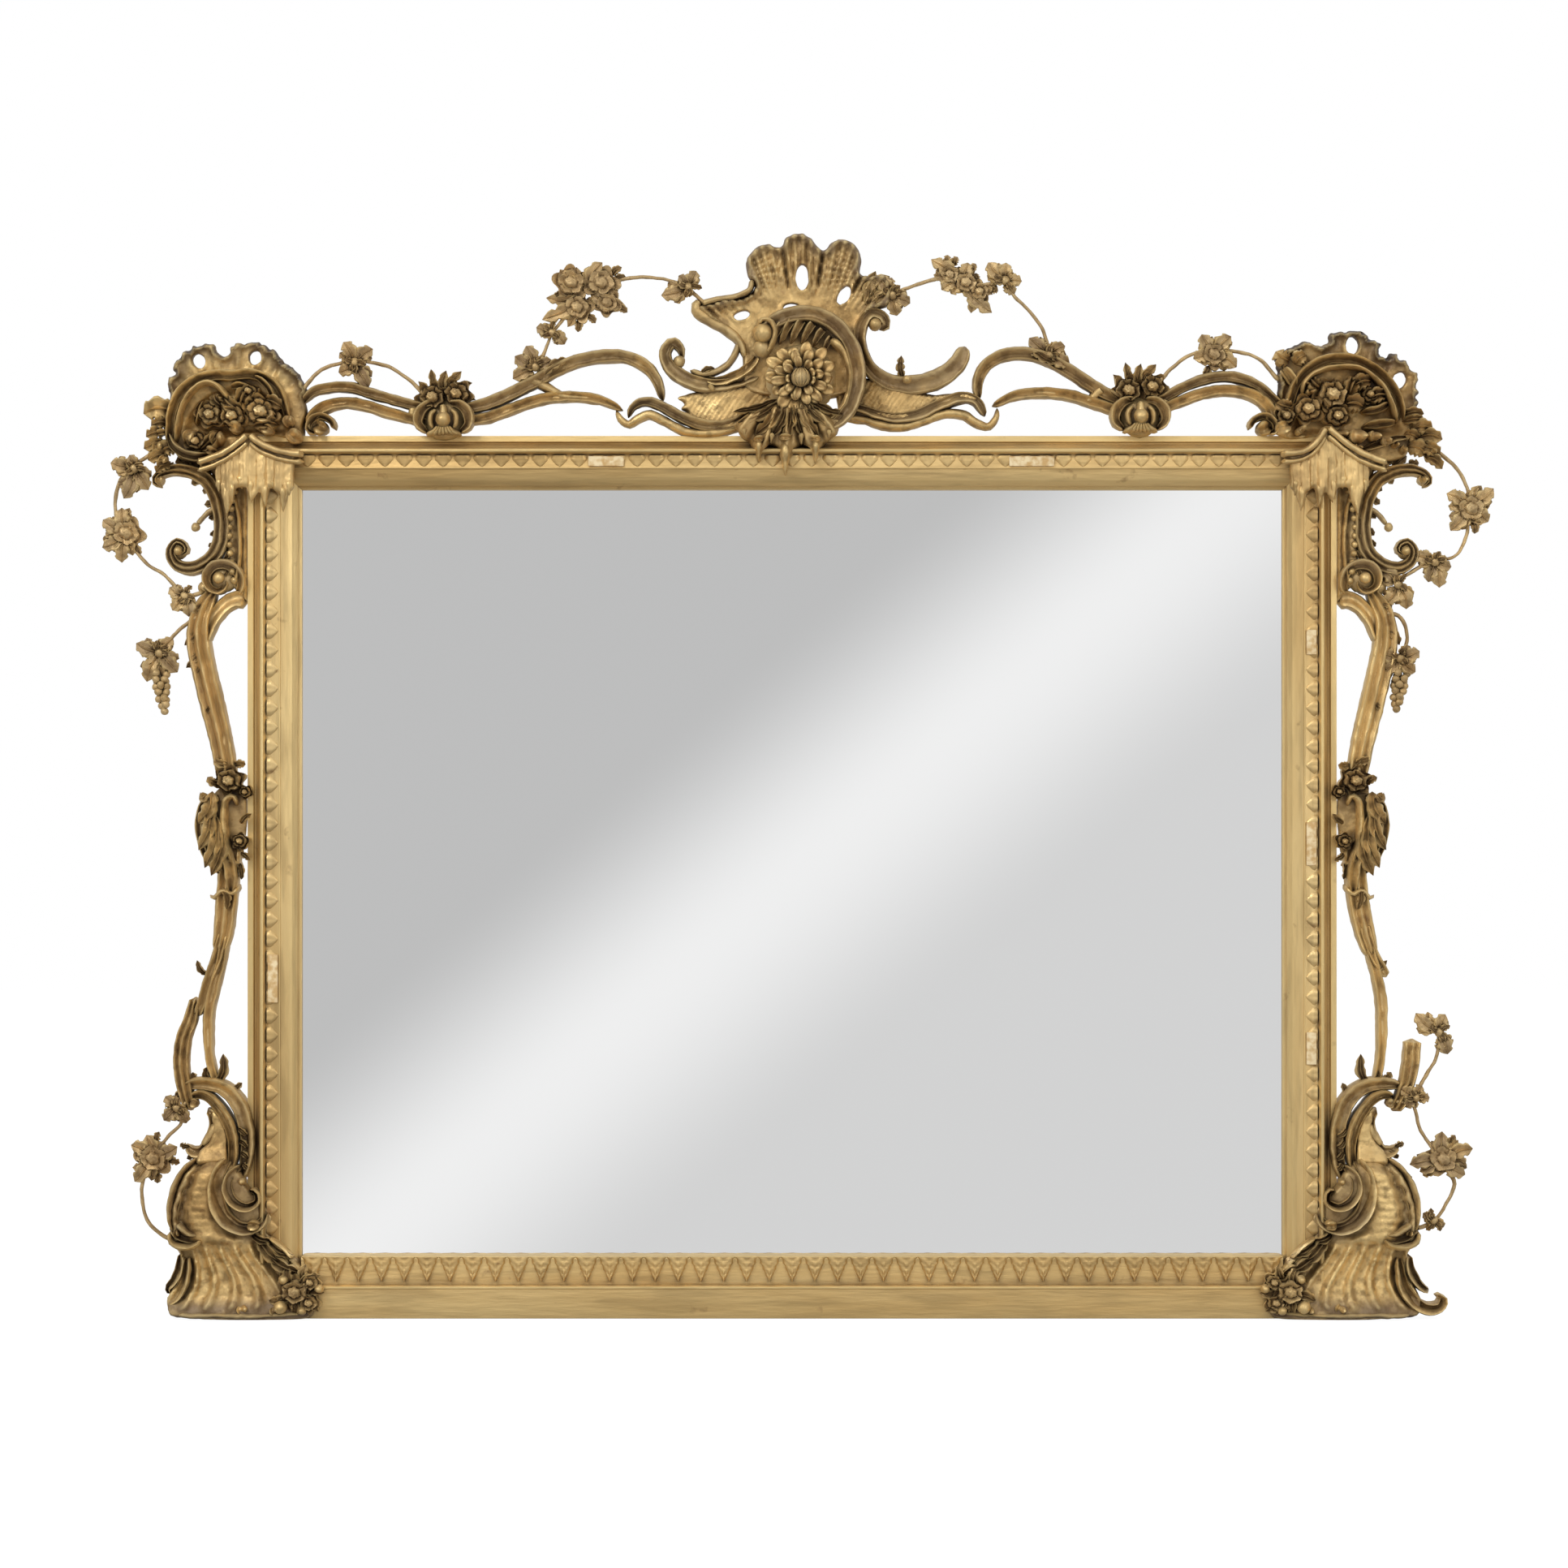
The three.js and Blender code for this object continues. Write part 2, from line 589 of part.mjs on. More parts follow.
// Each garland is a gilt wire stem with clusters: leaf tips round a middle, and a flower
// head where the cluster has one. Grapes hang in a cone from the cluster to their own tip.
const garlands = {
  crest_garland_left: {
    place: alongTop(-1),
    stems: [
      [[62.7, 80], [64.7, 108], [66.7, 131], [72, 165]],
      [[78, 188], [84.9, 201], [91.1, 205], [97.8, 202], [103.3, 192], [109, 168]],
    ],
    clusters: [
      { at: [62.2, 89], tips: [[56.7, 103], [56, 74], [59.6, 116], [66.7, 98]] },
      { at: [66.7, 133], tips: [[62.4, 140], [70.2, 118]] },
      { at: [76.2, 186], tips: [[64, 150], [68.9, 215], [80.4, 224], [86.7, 168]],
        flowers: [[[72, 198], 24], [[80.2, 198], 24], [[73.6, 166], 22], [[81.8, 172], 19]] },
      { at: [104, 192], tips: [[96.7, 182], [106.2, 213], [101.3, 207]] },
    ],
  },
  crest_garland_right: {
    place: alongTop(1),
    stems: [
      [[131.3, 171], [126.4, 186], [119.1, 197], [112.3, 205]],
      [[101, 192], [91, 198], [87.7, 180], [82.3, 159], [78.2, 136], [75.5, 100]],
    ],
    clusters: [
      { at: [128.6, 182], tips: [[132.7, 207], [122.6, 171], [127, 155]] },
      { at: [105.4, 200], tips: [[115.5, 228], [112.3, 189], [103.5, 224], [95.4, 159]],
        flowers: [[[109.5, 208], 17], [[104, 198], 19], [[99.5, 186], 16]] },
      { at: [91, 200], tips: [[96.5, 224], [90.5, 224], [85.3, 200], [87.7, 183]] },
      { at: [76.3, 105], tips: [[70.8, 116], [69.2, 93], [82.8, 126]] },
    ],
  },
  arch_garland_left: {
    place: alongTop(-1),
    stems: [[[-2, 56], [3.3, 84], [8, 93], [12.9, 97], [18.2, 94], [22.7, 88], [27.8, 72], [32.4, 50]]],
    clusters: [{ at: [12.9, 94], tips: [[9.8, 121], [8.4, 82], [16.7, 63], [17.8, 112]] }],
  },
  arch_garland_right: {
    place: alongTop(1),
    stems: [[[40.9, 62], [34.6, 89], [27.8, 106], [19.6, 110], [12, 108], [5.4, 98], [-1, 70]]],
    clusters: [
      { at: [21, 105], tips: [[27.8, 100], [25.1, 131], [15.3, 129], [13.4, 89]],
        flowers: [[[21, 105], 21]] },
    ],
  },
  side_garland_left: {
    place: nearCorner(-1),
    stems: [[
      [112, -16], [139, -33], [155, -44], [166, -63], [171, -86], [166, -116], [146, -147], [128, -167],
      [107, -180], [92, -196], [80, -207], [56, -202],
    ]],
    clusters: [
      { at: [146, -42], tips: [[177, -35], [160, -81], [128, -70], [153, -25]] },
      { at: [156, -126], tips: [[187, -108], [188, -144], [162, -164], [162, -93]],
        flowers: [[[156, -126], 24]] },
      { at: [80, -207], tips: [[101, -196], [97, -226], [76, -234]] },
    ],
  },
  side_garland_right: {
    place: nearCorner(1),
    stems: [[
      [118, -12], [152, -39], [168, -66], [171, -98], [167, -131], [152, -156], [123, -161],
      [86, -182], [50, -196],
    ]],
    clusters: [
      { at: [171, -94], tips: [[142, -74], [147, -123], [203, -68], [196, -112]],
        flowers: [[[173, -94], 24]] },
      { at: [126, -163], tips: [[100, -154], [118, -189], [132, -196], [148, -169]] },
      { at: [79, -192], tips: [[58, -173], [62, -217], [90, -224]] },
    ],
  },
  grape_spray_left: {
    place: nearCorner(-1),
    stems: [[[58, -232], [72, -238], [91, -254], [113, -280]], [[113, -280], [113, -311], [107, -359]]],
    clusters: [{ at: [113, -280], tips: [[144, -268], [130, -318], [90, -305]] }],
    grapes: [[113, -311], [107, -359]],
  },
  grape_spray_right: {
    place: nearCorner(1),
    stems: [[[58, -229], [80, -233], [90, -252], [90, -270], [82, -286], [82, -311], [77, -356]]],
    clusters: [{ at: [81, -287], tips: [[56, -278], [60, -305], [107, -278], [102, -305]] }],
    grapes: [[82, -311], [77, -356]],
  },
  base_garland_left: {
    place: nearScroll(-1),
    stems: [
      [[74, -16], [83, -23], [85, -44], [100, -60], [120, -84]],
      [[128, -96], [136, -124], [135, -152], [128, -173], [112, -189], [92, -199]],
    ],
    clusters: [
      { at: [91, -25], tips: [[106, -10], [79, -46], [108, -42]] },
      { at: [120, -89], tips: [[150, -73], [146, -121], [131, -61], [91, -76]],
        flowers: [[[121, -90], 25]] },
    ],
  },
  base_garland_right: {
    place: nearScroll(1),
    stems: [
      [[74, -18], [97, -21], [109, -57], [130, -84]],
      [[140, -100], [152, -124], [142, -148], [125, -172], [98, -184]],
      [[98, -12], [114, 14], [130, 44], [132, 76]],
    ],
    clusters: [
      { at: [102, -12], tips: [[82, 0], [88, -25], [120, -12], [109, 4]] },
      { at: [136, -92], tips: [[94, -99], [176, -78], [166, -112], [136, -56]],
        flowers: [[[137, -91], 25]] },
      { at: [125, -171], tips: [[111, -162], [138, -180]] },
      { at: [132, 72], tips: [[102, 97], [140, 95], [143, 44]] },
    ],
  },
};
const stemBack = -4;
const leafWidth = 13;
const leafStart = 0.15;           // share of the way from a cluster's middle to the tip
const budReach = 9;
const grapeRows = 4;
const grapeRadius = 8.5;
for (const [name, { place, stems, clusters, grapes }] of Object.entries(garlands)) {
  const thickness = even(stemThickness);
  const wires = stems.map((stem) => bar(stem.map(place), {
    section: wire, width: thickness, depth: thickness, back: stemBack, steps: stem.length,
  }));
  const heads = clusters.flatMap(({ at, tips, flowers = [] }) => {
    const middle = place(at);
    const leaves = tips.map(place).map((tip) => {
      const root = [0, 1].map((k) => THREE.MathUtils.lerp(middle[k], tip[k], leafStart));
      return leaf(root, tip, leafWidth, stemBack - 1, 7);
    });
    const petals = flowers.map(([centre, radius]) => {
      return flower(place(centre), radius, 5, stemBack + 4, stemBack - 17);
    });
    const [x, z] = middle;
    const bud = leaf([x - budReach, z], [x + budReach, z], 2 * budReach, stemBack + 2, 13);
    return [...leaves, ...petals, ...(flowers.length ? [] : [bud])];
  });
  const bunch = [];
  if (grapes) {
    const [[x0, z0], [x1, z1]] = grapes.map(place);
    for (let row = 0; row < grapeRows; row++) {
      const share = row / (grapeRows - 1);
      const [x, z] = [x0 + (x1 - x0) * share, z0 + (z1 - z0) * share];
      const berries = row < 2 ? [-6, 6] : [0];
      bunch.push(...berries.map((shift) => {
        return ball([x + shift, z], grapeRadius, stemBack + 2, stemBack - 15);
      }));
    }
  }
  add(name, join(wires, heads, bunch), garlandGilding, ['crest_', 'top_']);
}

// ---------------------------------------------------------------- top arches

const arches = {
  left: {
    clasp: [37.3, 47],
    shell: [37.3, 4],
    innerUpper: [
      [41, 34], [48.9, 42], [56, 56], [62.2, 71], [68.4, 87], [73.8, 97], [80.4, 103], [87.1, 102],
      [92.4, 90], [95.6, 70], [97, 48],
    ],
    innerLower: [[40, 18], [48.9, 24], [56.7, 37], [63.3, 47], [71.1, 51], [79.6, 47], [85, 36]],
    tie: [[60, 84], [70, 50]],
    outerUpper: [
      [-2, 42], [1.3, 57], [6.2, 63], [11.6, 63], [17.3, 55], [23.3, 47], [28.9, 40], [34.5, 34],
    ],
    outerLower: [[2, 4], [1.8, 21], [4.7, 36], [10.2, 43], [16, 39], [22.7, 29], [28.4, 22], [35, 14]],
  },
  right: {
    clasp: [45.8, 56],
    shell: [45.8, 8],
    innerUpper: [
      [50, 42], [57.8, 56], [64.6, 72], [71.4, 89], [78.2, 102], [85.6, 107], [93.2, 102],
      [98.1, 87], [100, 68], [99.7, 46],
    ],
    innerLower: [[49, 28], [60.5, 42], [68.7, 52], [78.2, 56], [87.7, 52], [95, 40]],
    tie: [[60, 60], [62, 42]],
    outerUpper: [
      [-3, 34], [1.6, 51], [7.4, 68], [15.5, 77], [23.7, 74], [31.1, 63], [37.3, 50], [43, 40],
    ],
    outerLower: [
      [1, 4], [2.7, 35], [7.4, 51], [15.5, 59], [23.7, 56], [31.9, 45], [38.1, 35], [43, 26],
    ],
  },
};
const archBar = { width: even(17), depth: [26, 30, 26], steps: 12 };
const slimBar = { section: rounded, width: [14, 15, 13], depth: [24, 27, 24], steps: 9 };
for (const [word, side] of sides) {
  const place = alongTop(side);
  const arch = arches[word];
  const route = (points) => points.map(place);
  const [claspX, claspZ] = place(arch.clasp);
  const [shellX, shellZ] = place(arch.shell);
  const lobes = [-34, -17, 0, 17, 34];
  add(`arch_clasp_${word}`, join(
    flower([claspX - 15, claspZ], 24, 6, 4, -34),
    flower([claspX + 16, claspZ + 4], 22, 6, 2, -32),
    lobes.map((shift) => {
      const root = [shellX + 0.2 * shift, shellZ + 32];
      const tip = [shellX + shift, shellZ + 0.25 * Math.abs(shift)];
      const depth = even(36 - 0.12 * Math.abs(shift));
      return bar([root, tip], { section: rounded, width: even(15), depth, back: 8, steps: 1 });
    }),
  ), carvedGilding, ['top_', 'arch_garland', 'crest_garland']);
  add(`arch_inner_${word}`, join(
    bar(route(arch.innerUpper), archBar),
    bar(route(arch.innerLower), slimBar),
    bar(route(arch.tie), { ...slimBar, steps: 2 }),
  ), carvedGilding, ['arch_', 'crest_', 'top_']);
  add(`arch_outer_${word}`, join(
    bar(route(arch.outerUpper), slimBar),
    bar(route(arch.outerLower), slimBar),
    bar(route([arch.outerUpper[6], arch.outerLower[6]]), { ...slimBar, steps: 1 }),
  ), carvedGilding, ['arch_', 'crest_', 'top_']);
}

// ---------------------------------------------------------------- corners

const canopyOutline = [
  [60, -34], [44, -29], [25, -21], [8, -10], [-5, 2], [-17, -9], [-36, -17], [-55, -22], [-74, -22],
  [-74, -29], [-63, -33], [-63, -68], [-57, -75], [-49, -98], [-43, -75], [-32, -68], [-26, -92],
  [-19, -72], [-8, -87], [-2, -68], [12, -68], [16, -87], [24, -104], [30, -75], [38, -66],
  [38, -38], [58, -42],
];
const canopySide = [
  [fitGap, -14], [fitGap, -64], [34, -64], [35, -40], [52, -40], [52, -34], [25, -23],
];
const canopyBack = frontFace - fitGap;
const outerEaves = [[60, -36], [44, -31], [25, -23], [8, -12], [-5, 0]];
const innerEaves = [[-5, 0], [-17, -11], [-36, -19], [-55, -24], [-74, -25]];
const eavesBar = { section: rounded, width: even(9), depth: even(22), back: canopyBack, steps: 3 };
const cornerShellFront = -6;
const bouquetBack = cornerShellFront - fitGap;
const bouquetRoot = [8, 8];
const bouquetLeaves = [[-25, 46], [30, 40], [56, -4], [4, 44], [-48, 18]];
const cornerShell = [
  [103, 0], [99, 37], [98, 71], [90, 89], [78, 108], [61, 117], [41, 113], [29, 100], [20, 103],
  [15, 119], [-4, 121], [-21, 116], [-34, 106], [-48, 84], [-61, 72], [-74, 60], [-78, 30], [-71, 1],
  [1, 1], [1, -30], [57, -35], [86, -26],
];
const cornerHoles = [[[62, 96], 17, 15, 0.6], [[-10, 99], 17, 16, 0]];
const cornerRing = [
  [96, -24], [92, 5], [84, 35], [69, 56], [48, 66], [20, 70], [-8, 68], [-32, 60], [-46, 43],
  [-54, 18], [-62, 0],
];
const shellFan = [
  [[88, 34], [92, 80]], [[60, 60], [66, 112]], [[36, 66], [40, 108]], [[4, 68], [4, 114]],
  [[-30, 56], [-36, 98]],
];
const sideLeaves = [
  [[88, 6], [127, 28]], [[86, -6], [124, -20]], [[84, -14], [126, -44]], [[80, -18], [110, -64]],
];
for (const [word, side] of sides) {
  const place = nearCorner(side);
  const route = (points) => points.map(place);
  add(`corner_canopy_${word}`, join(
    plate(route(canopyOutline), canopyBack, -38),
    plate(route(canopySide), -4, -36),
    bar(route(outerEaves), eavesBar),
    bar(route(innerEaves), eavesBar),
  ), railGilding);
  const shell = join(
    plate(route(cornerShell), carvingBack, cornerShellFront),
    bar(route(cornerRing), {
      section: rounded, width: [12, 16, 12], depth: [36, 44, 36], steps: 11,
    }),
    ball(place([-66, -4]), 15, 4, -34),
    shellFan.map((rib) => bar(route(rib), {
      section: rounded, width: [10, 15, 16], depth: [22, 25, 18], back: 6, steps: 1,
    })),
    sideLeaves.map(([root, tip]) => leaf(place(root), place(tip), 17, 2, 18)),
  );
  const openings = join(cornerHoles.map(([at, ...oval]) => hole(place(at), ...oval)));
  const clearOfShell = ['corner_canopy', 'top_', 'side_garland', 'arch_'];
  add(`corner_shell_${word}`, shell.subtract(openings), carvedGilding, clearOfShell);
  add(`corner_bouquet_${word}`, join(
    flower(place([10, 22]), 23, 6, bouquetBack, -40),
    flower(place([-24, 30]), 16, 5, bouquetBack, -36),
    flower(place([40, 14]), 17, 5, bouquetBack, -36),
    ball(place([-16, 6]), 13, bouquetBack, -38),
    ball(place([-38, 10]), 12, bouquetBack, -36),
    ball(place([24, -6]), 12, bouquetBack, -36),
    bouquetLeaves.map((tip) => leaf(place(bouquetRoot), place(tip), 18, bouquetBack - 1, 16)),
  ), carvedGilding, ['corner_', 'top_', 'arch_']);
}

// ---------------------------------------------------------------- side brackets

const crook = [
  [118, -60], [93, -45], [72, -48], [52, -59], [40, -77], [34, -100], [33, -123], [37, -144],
  [48, -160],
  [64, -169], [82, -170], [97, -161], [100, -146], [89, -138], [80, -146],
];
const crookLeaves = [
  [[36, -88], [60, -104]], [[38, -120], [56, -128]], [[40, -142], [62, -140]],
  [[34, -98], [20, -120]],
];
const webOutline = [
  [0.3, -36], [52, -36], [44, -56], [34, -80], [27, -104], [26, -131], [28, -160], [24, -190],
  [0.3, -215],
];
const upperBar = [
  [36, 104], [48, 100], [58, 97.5], [63, 93.4], [62, 89.3], [54, 83.5], [44, 76.9], [34, 70.2],
  [25, 62],
];
const upperBranch = [[0.3, 101], [21, 99.2], [40, 96.5], [52, 93]];
const upperSpur = [[62, 88], [78, 87.5]];
const claspCurl = [[8, 60], [20, 60], [26, 56], [22, 51], [10, 46.5]];
const claspBack = [[34, 61], [54, 58], [52, 52], [42, 47], [30, 44]];
const claspPlate = [[14, 63], [46, 60], [50, 52], [30, 44], [14, 45], [3, 52], [3, 60]];
const lowerBars = {
  left: {
    shaft: [[20, 49.6], [25, 43], [28, 37.2], [32, 31.4], [40, 26.4]],
    outer: [[32, 31], [40, 26.4], [50, 22.3], [57, 18.5], [66, 14.5]],
    inner: [[30, 30], [35, 25.6], [43, 20.7], [50, 15.7], [51, 10.7], [49, 5.8], [38, 0]],
    stalk: [[68, 117], [74, 89], [82, 68], [86, 42], [84, 11], [74, -32]],
    spur: [[42, 3], [30, 41]],
  },
  right: {
    shaft: [[20, 49.6], [25, 43], [30, 36.8], [39, 30.5], [50, 24.8]],
    outer: [[36, 33], [47, 27], [57, 24.5], [66, 22.5]],
    inner: [[42, 29], [52, 23], [58, 18], [59, 12], [57, 6], [50, 0]],
    stalk: [[99, 63], [97, 38], [92, 9], [84, -13], [74, -32]],
    spur: [[92, 38], [110, 51]],
  },
};
const rocailleOutline = [
  [18, 200], [58, 207], [76, 194], [91, 178], [102, 149], [105, 128], [100, 97], [89, 81],
  [88, 65], [96, 41],
  [117, 20], [110, 0], [-82, 0], [-86, 34], [-81, 59], [-58, 69], [-35, 81], [-19, 107], [-19, 130],
  [-1, 160], [10, 190],
];
const rocailleFolds = [
  [[84, 92], [84, 50], [110, 8]], [[66, 92], [68, 50], [80, 5]], [[48, 92], [48, 50], [50, 4]],
  [[28, 92], [24, 50], [20, 4]], [[10, 96], [-4, 52], [-14, 4]], [[-8, 92], [-30, 54], [-44, 4]],
];
const rocailleBulge = [[58, 205], [78, 190], [94, 162], [100, 130], [94, 100], [84, 84]];
const footLow = [[30, 205], [39, 175], [40, 149], [30, 125], [12, 112], [-6, 116], [-14, 132]];
const footHigh = [[0, 186], [18, 181], [19, 160], [7, 145], [-10, 148]];
const footScroll = [
  [86, 0], [60, 4], [34, 0], [15, -16], [4, -40], [-1, -68], [2, -96], [10, -120],
];
const footHook = [[78, -78], [62, -83], [49, -70], [42, -50], [46, -34], [62, -20], [76, -10]];
const footRidge = [[66, -12], [49, -14], [33, -31], [21, -54], [18, -79], [24, -106]];
const footFlower = [-64, 34];
const footFlowerLeaves = [[-88, 14], [-90, 52], [-58, 66], [-28, 24], [-64, 6]];
for (const [word, side] of sides) {
  const onSide = alongSide(side);
  const corner = nearCorner(side);
  const foot = nearFoot(side);
  const scroll = nearScroll(side);
  const route = (points, place) => points.map(place);
  const clearOfFrame = ['top_rail', 'bottom_', 'left_', 'right_'];
  add(`side_crook_${word}`, join(
    plate(route(webOutline, corner), 10, -10),
    bar(route(crook, corner), { width: [12, 20, 9], depth: [26, 34, 24], steps: 15 }),
    ball(corner([118, -60]), 11, 8, -20),
    ball(corner([84, -148]), 8, 8, -18),
    crookLeaves.map(([root, tip]) => leaf(corner(root), corner(tip), 14, -2, 16)),
  ), carvedGilding, ['corner_', 'side_garland', ...clearOfFrame]);
  add(`side_clasp_${word}`, join(
    flower(onSide([22, 62.5]), 23, 6, 6, -36),
    bar(route(claspBack, onSide), {
      section: rounded, width: [16, 20, 12], depth: [30, 34, 26], steps: 5,
    }),
    bar(route(claspCurl, onSide), {
      section: rounded, width: [12, 16, 10], depth: [32, 40, 30], steps: 5,
    }),
    plate(route(claspPlate, onSide), 12, -12),
    leaf(onSide([20, 46]), onSide([22, 38.5]), 20, -2, 20),
    flower(onSide([6, 53]), 11, 5, -6, -38),
  ), carvedGilding, clearOfFrame);
  add(`side_bar_upper_${word}`, join(
    bar(route(upperBar, onSide), { width: [24, 31, 26], depth: [26, 30, 26], steps: 11 }),
    bar(route(upperBranch, onSide), {
      section: rounded, width: [26, 22, 20], depth: [24, 26, 24], steps: 3,
    }),
    ball(onSide([34, 103]), 24, carvingBack, -24),
    leaf(onSide(upperSpur[0]), onSide(upperSpur[1]), 20, 4, 16),
  ), carvedGilding, ['side_', 'grape_', ...clearOfFrame]);
  const lower = lowerBars[word];
  const slim = { section: rounded, width: [13, 14, 10], depth: [22, 25, 20], steps: 7 };
  add(`base_scroll_${word}`, join(
    bar(route(footScroll, scroll), { width: [12, 22, 16], depth: [26, 32, 30], steps: 9 }),
    bar(route(footHook, scroll), {
      section: rounded, width: [10, 18, 16], depth: [26, 30, 26], steps: 7,
    }),
    bar(route(footRidge, scroll), {
      section: rounded, width: [10, 15, 12], depth: [34, 40, 34], steps: 7,
    }),
    bar(route(lower.stalk, scroll), {
      section: rounded, width: [8, 20, 18], depth: [18, 26, 26], steps: 6,
    }),
    leaf(scroll(lower.spur[0]), scroll(lower.spur[1]), 14, 2, 14),
  ), carvedGilding, ['base_garland', ...clearOfFrame]);
  add(`side_bar_lower_${word}`, join(
    bar(route(lower.shaft, onSide), { width: [27, 28, 26], depth: even(27), steps: 6 }),
    bar(route(lower.outer, onSide), { ...slim, steps: 6 }),
    bar(route(lower.inner, onSide), slim),
  ), carvedGilding, ['side_', 'base_', ...clearOfFrame]);
  const onBelly = { section: rounded, back: 16 };
  add(`base_rocaille_${word}`, join(
    plate(route(rocailleOutline, foot), 18, -30),
    rocailleFolds.map((fold) => bar(route(fold, foot), {
      ...onBelly, width: [16, 20, 24], depth: [34, 44, 62], steps: 2,
    })),
    bar(route(rocailleBulge, foot), {
      ...onBelly, width: [14, 18, 14], depth: [44, 54, 50], steps: 5,
    }),
    bar(route(footLow, foot), { ...onBelly, width: [18, 22, 12], depth: [56, 66, 60], steps: 7 }),
    bar(route(footHigh, foot), { ...onBelly, width: [10, 16, 10], depth: [52, 62, 54], steps: 5 }),
  ), carvedGilding, ['base_', ...clearOfFrame]);
  add(`base_flower_${word}`, join(
    flower(foot(footFlower), 25, 6, -22, -54),
    footFlowerLeaves.map((tip) => leaf(foot(footFlower), foot(tip), 18, -26, 14)),
    ball(foot([-46, 18]), 9, -22, -52),
  ), carvedGilding, ['base_', ...clearOfFrame]);
}

export default mirror;
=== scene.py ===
import math
from contextlib import contextmanager
from functools import partial
from random import Random

import bpy
from mathutils import Matrix, Vector, noise
from mathutils.kdtree import KDTree


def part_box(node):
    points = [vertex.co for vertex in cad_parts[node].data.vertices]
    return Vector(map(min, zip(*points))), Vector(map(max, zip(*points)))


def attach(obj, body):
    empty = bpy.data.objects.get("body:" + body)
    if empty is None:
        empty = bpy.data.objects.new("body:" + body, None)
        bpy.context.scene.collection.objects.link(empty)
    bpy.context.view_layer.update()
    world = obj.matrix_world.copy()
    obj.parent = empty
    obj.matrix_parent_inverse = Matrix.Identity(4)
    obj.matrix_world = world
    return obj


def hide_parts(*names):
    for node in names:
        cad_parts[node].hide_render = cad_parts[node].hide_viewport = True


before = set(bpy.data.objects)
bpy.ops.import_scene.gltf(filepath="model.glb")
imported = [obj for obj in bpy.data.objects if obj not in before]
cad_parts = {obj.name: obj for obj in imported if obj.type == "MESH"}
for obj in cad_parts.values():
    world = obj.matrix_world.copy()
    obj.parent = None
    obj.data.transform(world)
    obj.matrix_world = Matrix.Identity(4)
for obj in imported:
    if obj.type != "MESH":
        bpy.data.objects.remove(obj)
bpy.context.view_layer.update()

# ------------------------------------------------------------------ the room and the camera
# A white studio: a floor and walls that the camera sees as white, a softbox high on the left
# and one on the right, and a card behind the camera for the glass to reflect.

scene = bpy.context.scene
scene.view_settings.view_transform = "Standard"


def tone(red, green, blue):
    """A colour as a screen shows it, 0 to 255, turned into what Blender's sockets take."""
    shares = (red / 255, green / 255, blue / 255)
    return tuple(v / 12.92 if v < 0.04045 else ((v + 0.055) / 1.055) ** 2.4 for v in shares) + (1,)


def feed(node, inputs):
    """Sets inputs of a node to values, or links them to the outputs of other nodes."""
    for name, value in inputs.items():
        if isinstance(value, bpy.types.NodeSocket):
            node.id_data.links.new(value, node.inputs[name])
        else:
            node.inputs[name].default_value = value


def add_node(tree, kind, inputs={}, **settings):
    """A new node in a tree, with its settings made before its inputs are fed."""
    node = tree.nodes.new("ShaderNode" + kind)
    for setting, value in settings.items():
        setattr(node, setting, value)
    feed(node, inputs)
    return node


def ramp(tree, share, stops, interpolation="LINEAR"):
    """Colours along a share from 0 to 1: stops are positions and colours, the two ends first."""
    node = add_node(tree, "ValToRGB", {"Fac": share})
    node.color_ramp.interpolation = interpolation
    elements = node.color_ramp.elements
    for index, (position, colour) in enumerate(stops):
        element = elements[index] if index < 2 else elements.new(position)
        element.position = position
        element.color = colour
    return node.outputs["Color"]


def new_material(name):
    """A material, with what adds a node to it and its own shader node."""
    material = bpy.data.materials.new(name)
    material.use_nodes = True
    return material, partial(add_node, material.node_tree), material.node_tree.nodes["Principled BSDF"]


bpy.ops.mesh.primitive_plane_add(size=14, location=(0, 2.5, -0.001))
floor = bpy.context.object
floor.name = "floor"
paper, node, matt = new_material("white_paper")
feed(matt, {"Base Color": (0.9, 0.9, 0.9, 1), "Roughness": 0.9})
ray = node("LightPath").outputs
seen = node("Math", {0: ray["Is Camera Ray"], 1: ray["Is Glossy Ray"]}, operation="MAXIMUM")
faint = node("Math", {0: seen.outputs[0], 1: 0.86}, operation="MULTIPLY")
white = node("Emission", {"Color": (1, 1, 1, 1), "Strength": 1.1})
both = node("MixShader", {"Fac": faint.outputs[0], 1: matt.outputs[0], 2: white.outputs[0]})
feed(paper.node_tree.nodes["Material Output"], {"Surface": both.outputs[0]})
floor.data.materials.append(paper)
floor.visible_glossy = False

world = bpy.data.worlds.new("studio")
scene.world = world
world.use_nodes = True
node = partial(add_node, world.node_tree)
heading = node("SeparateXYZ", {0: node("TexCoord").outputs["Generated"]})
height = node("MapRange", {"Value": heading.outputs["Z"], "From Min": -0.7, "From Max": 0.9})
walls = ramp(world.node_tree, height.outputs[0], [(0, (0.30, 0.29, 0.28, 1)), (1, (0.86, 0.86, 0.86, 1))])
lit = node(
    "Mix", {"Factor": node("LightPath").outputs["Is Camera Ray"], "A": walls, "B": (1, 1, 1, 1)}, data_type="RGBA",
)
feed(world.node_tree.nodes["Background"], {"Color": lit.outputs["Result"]})

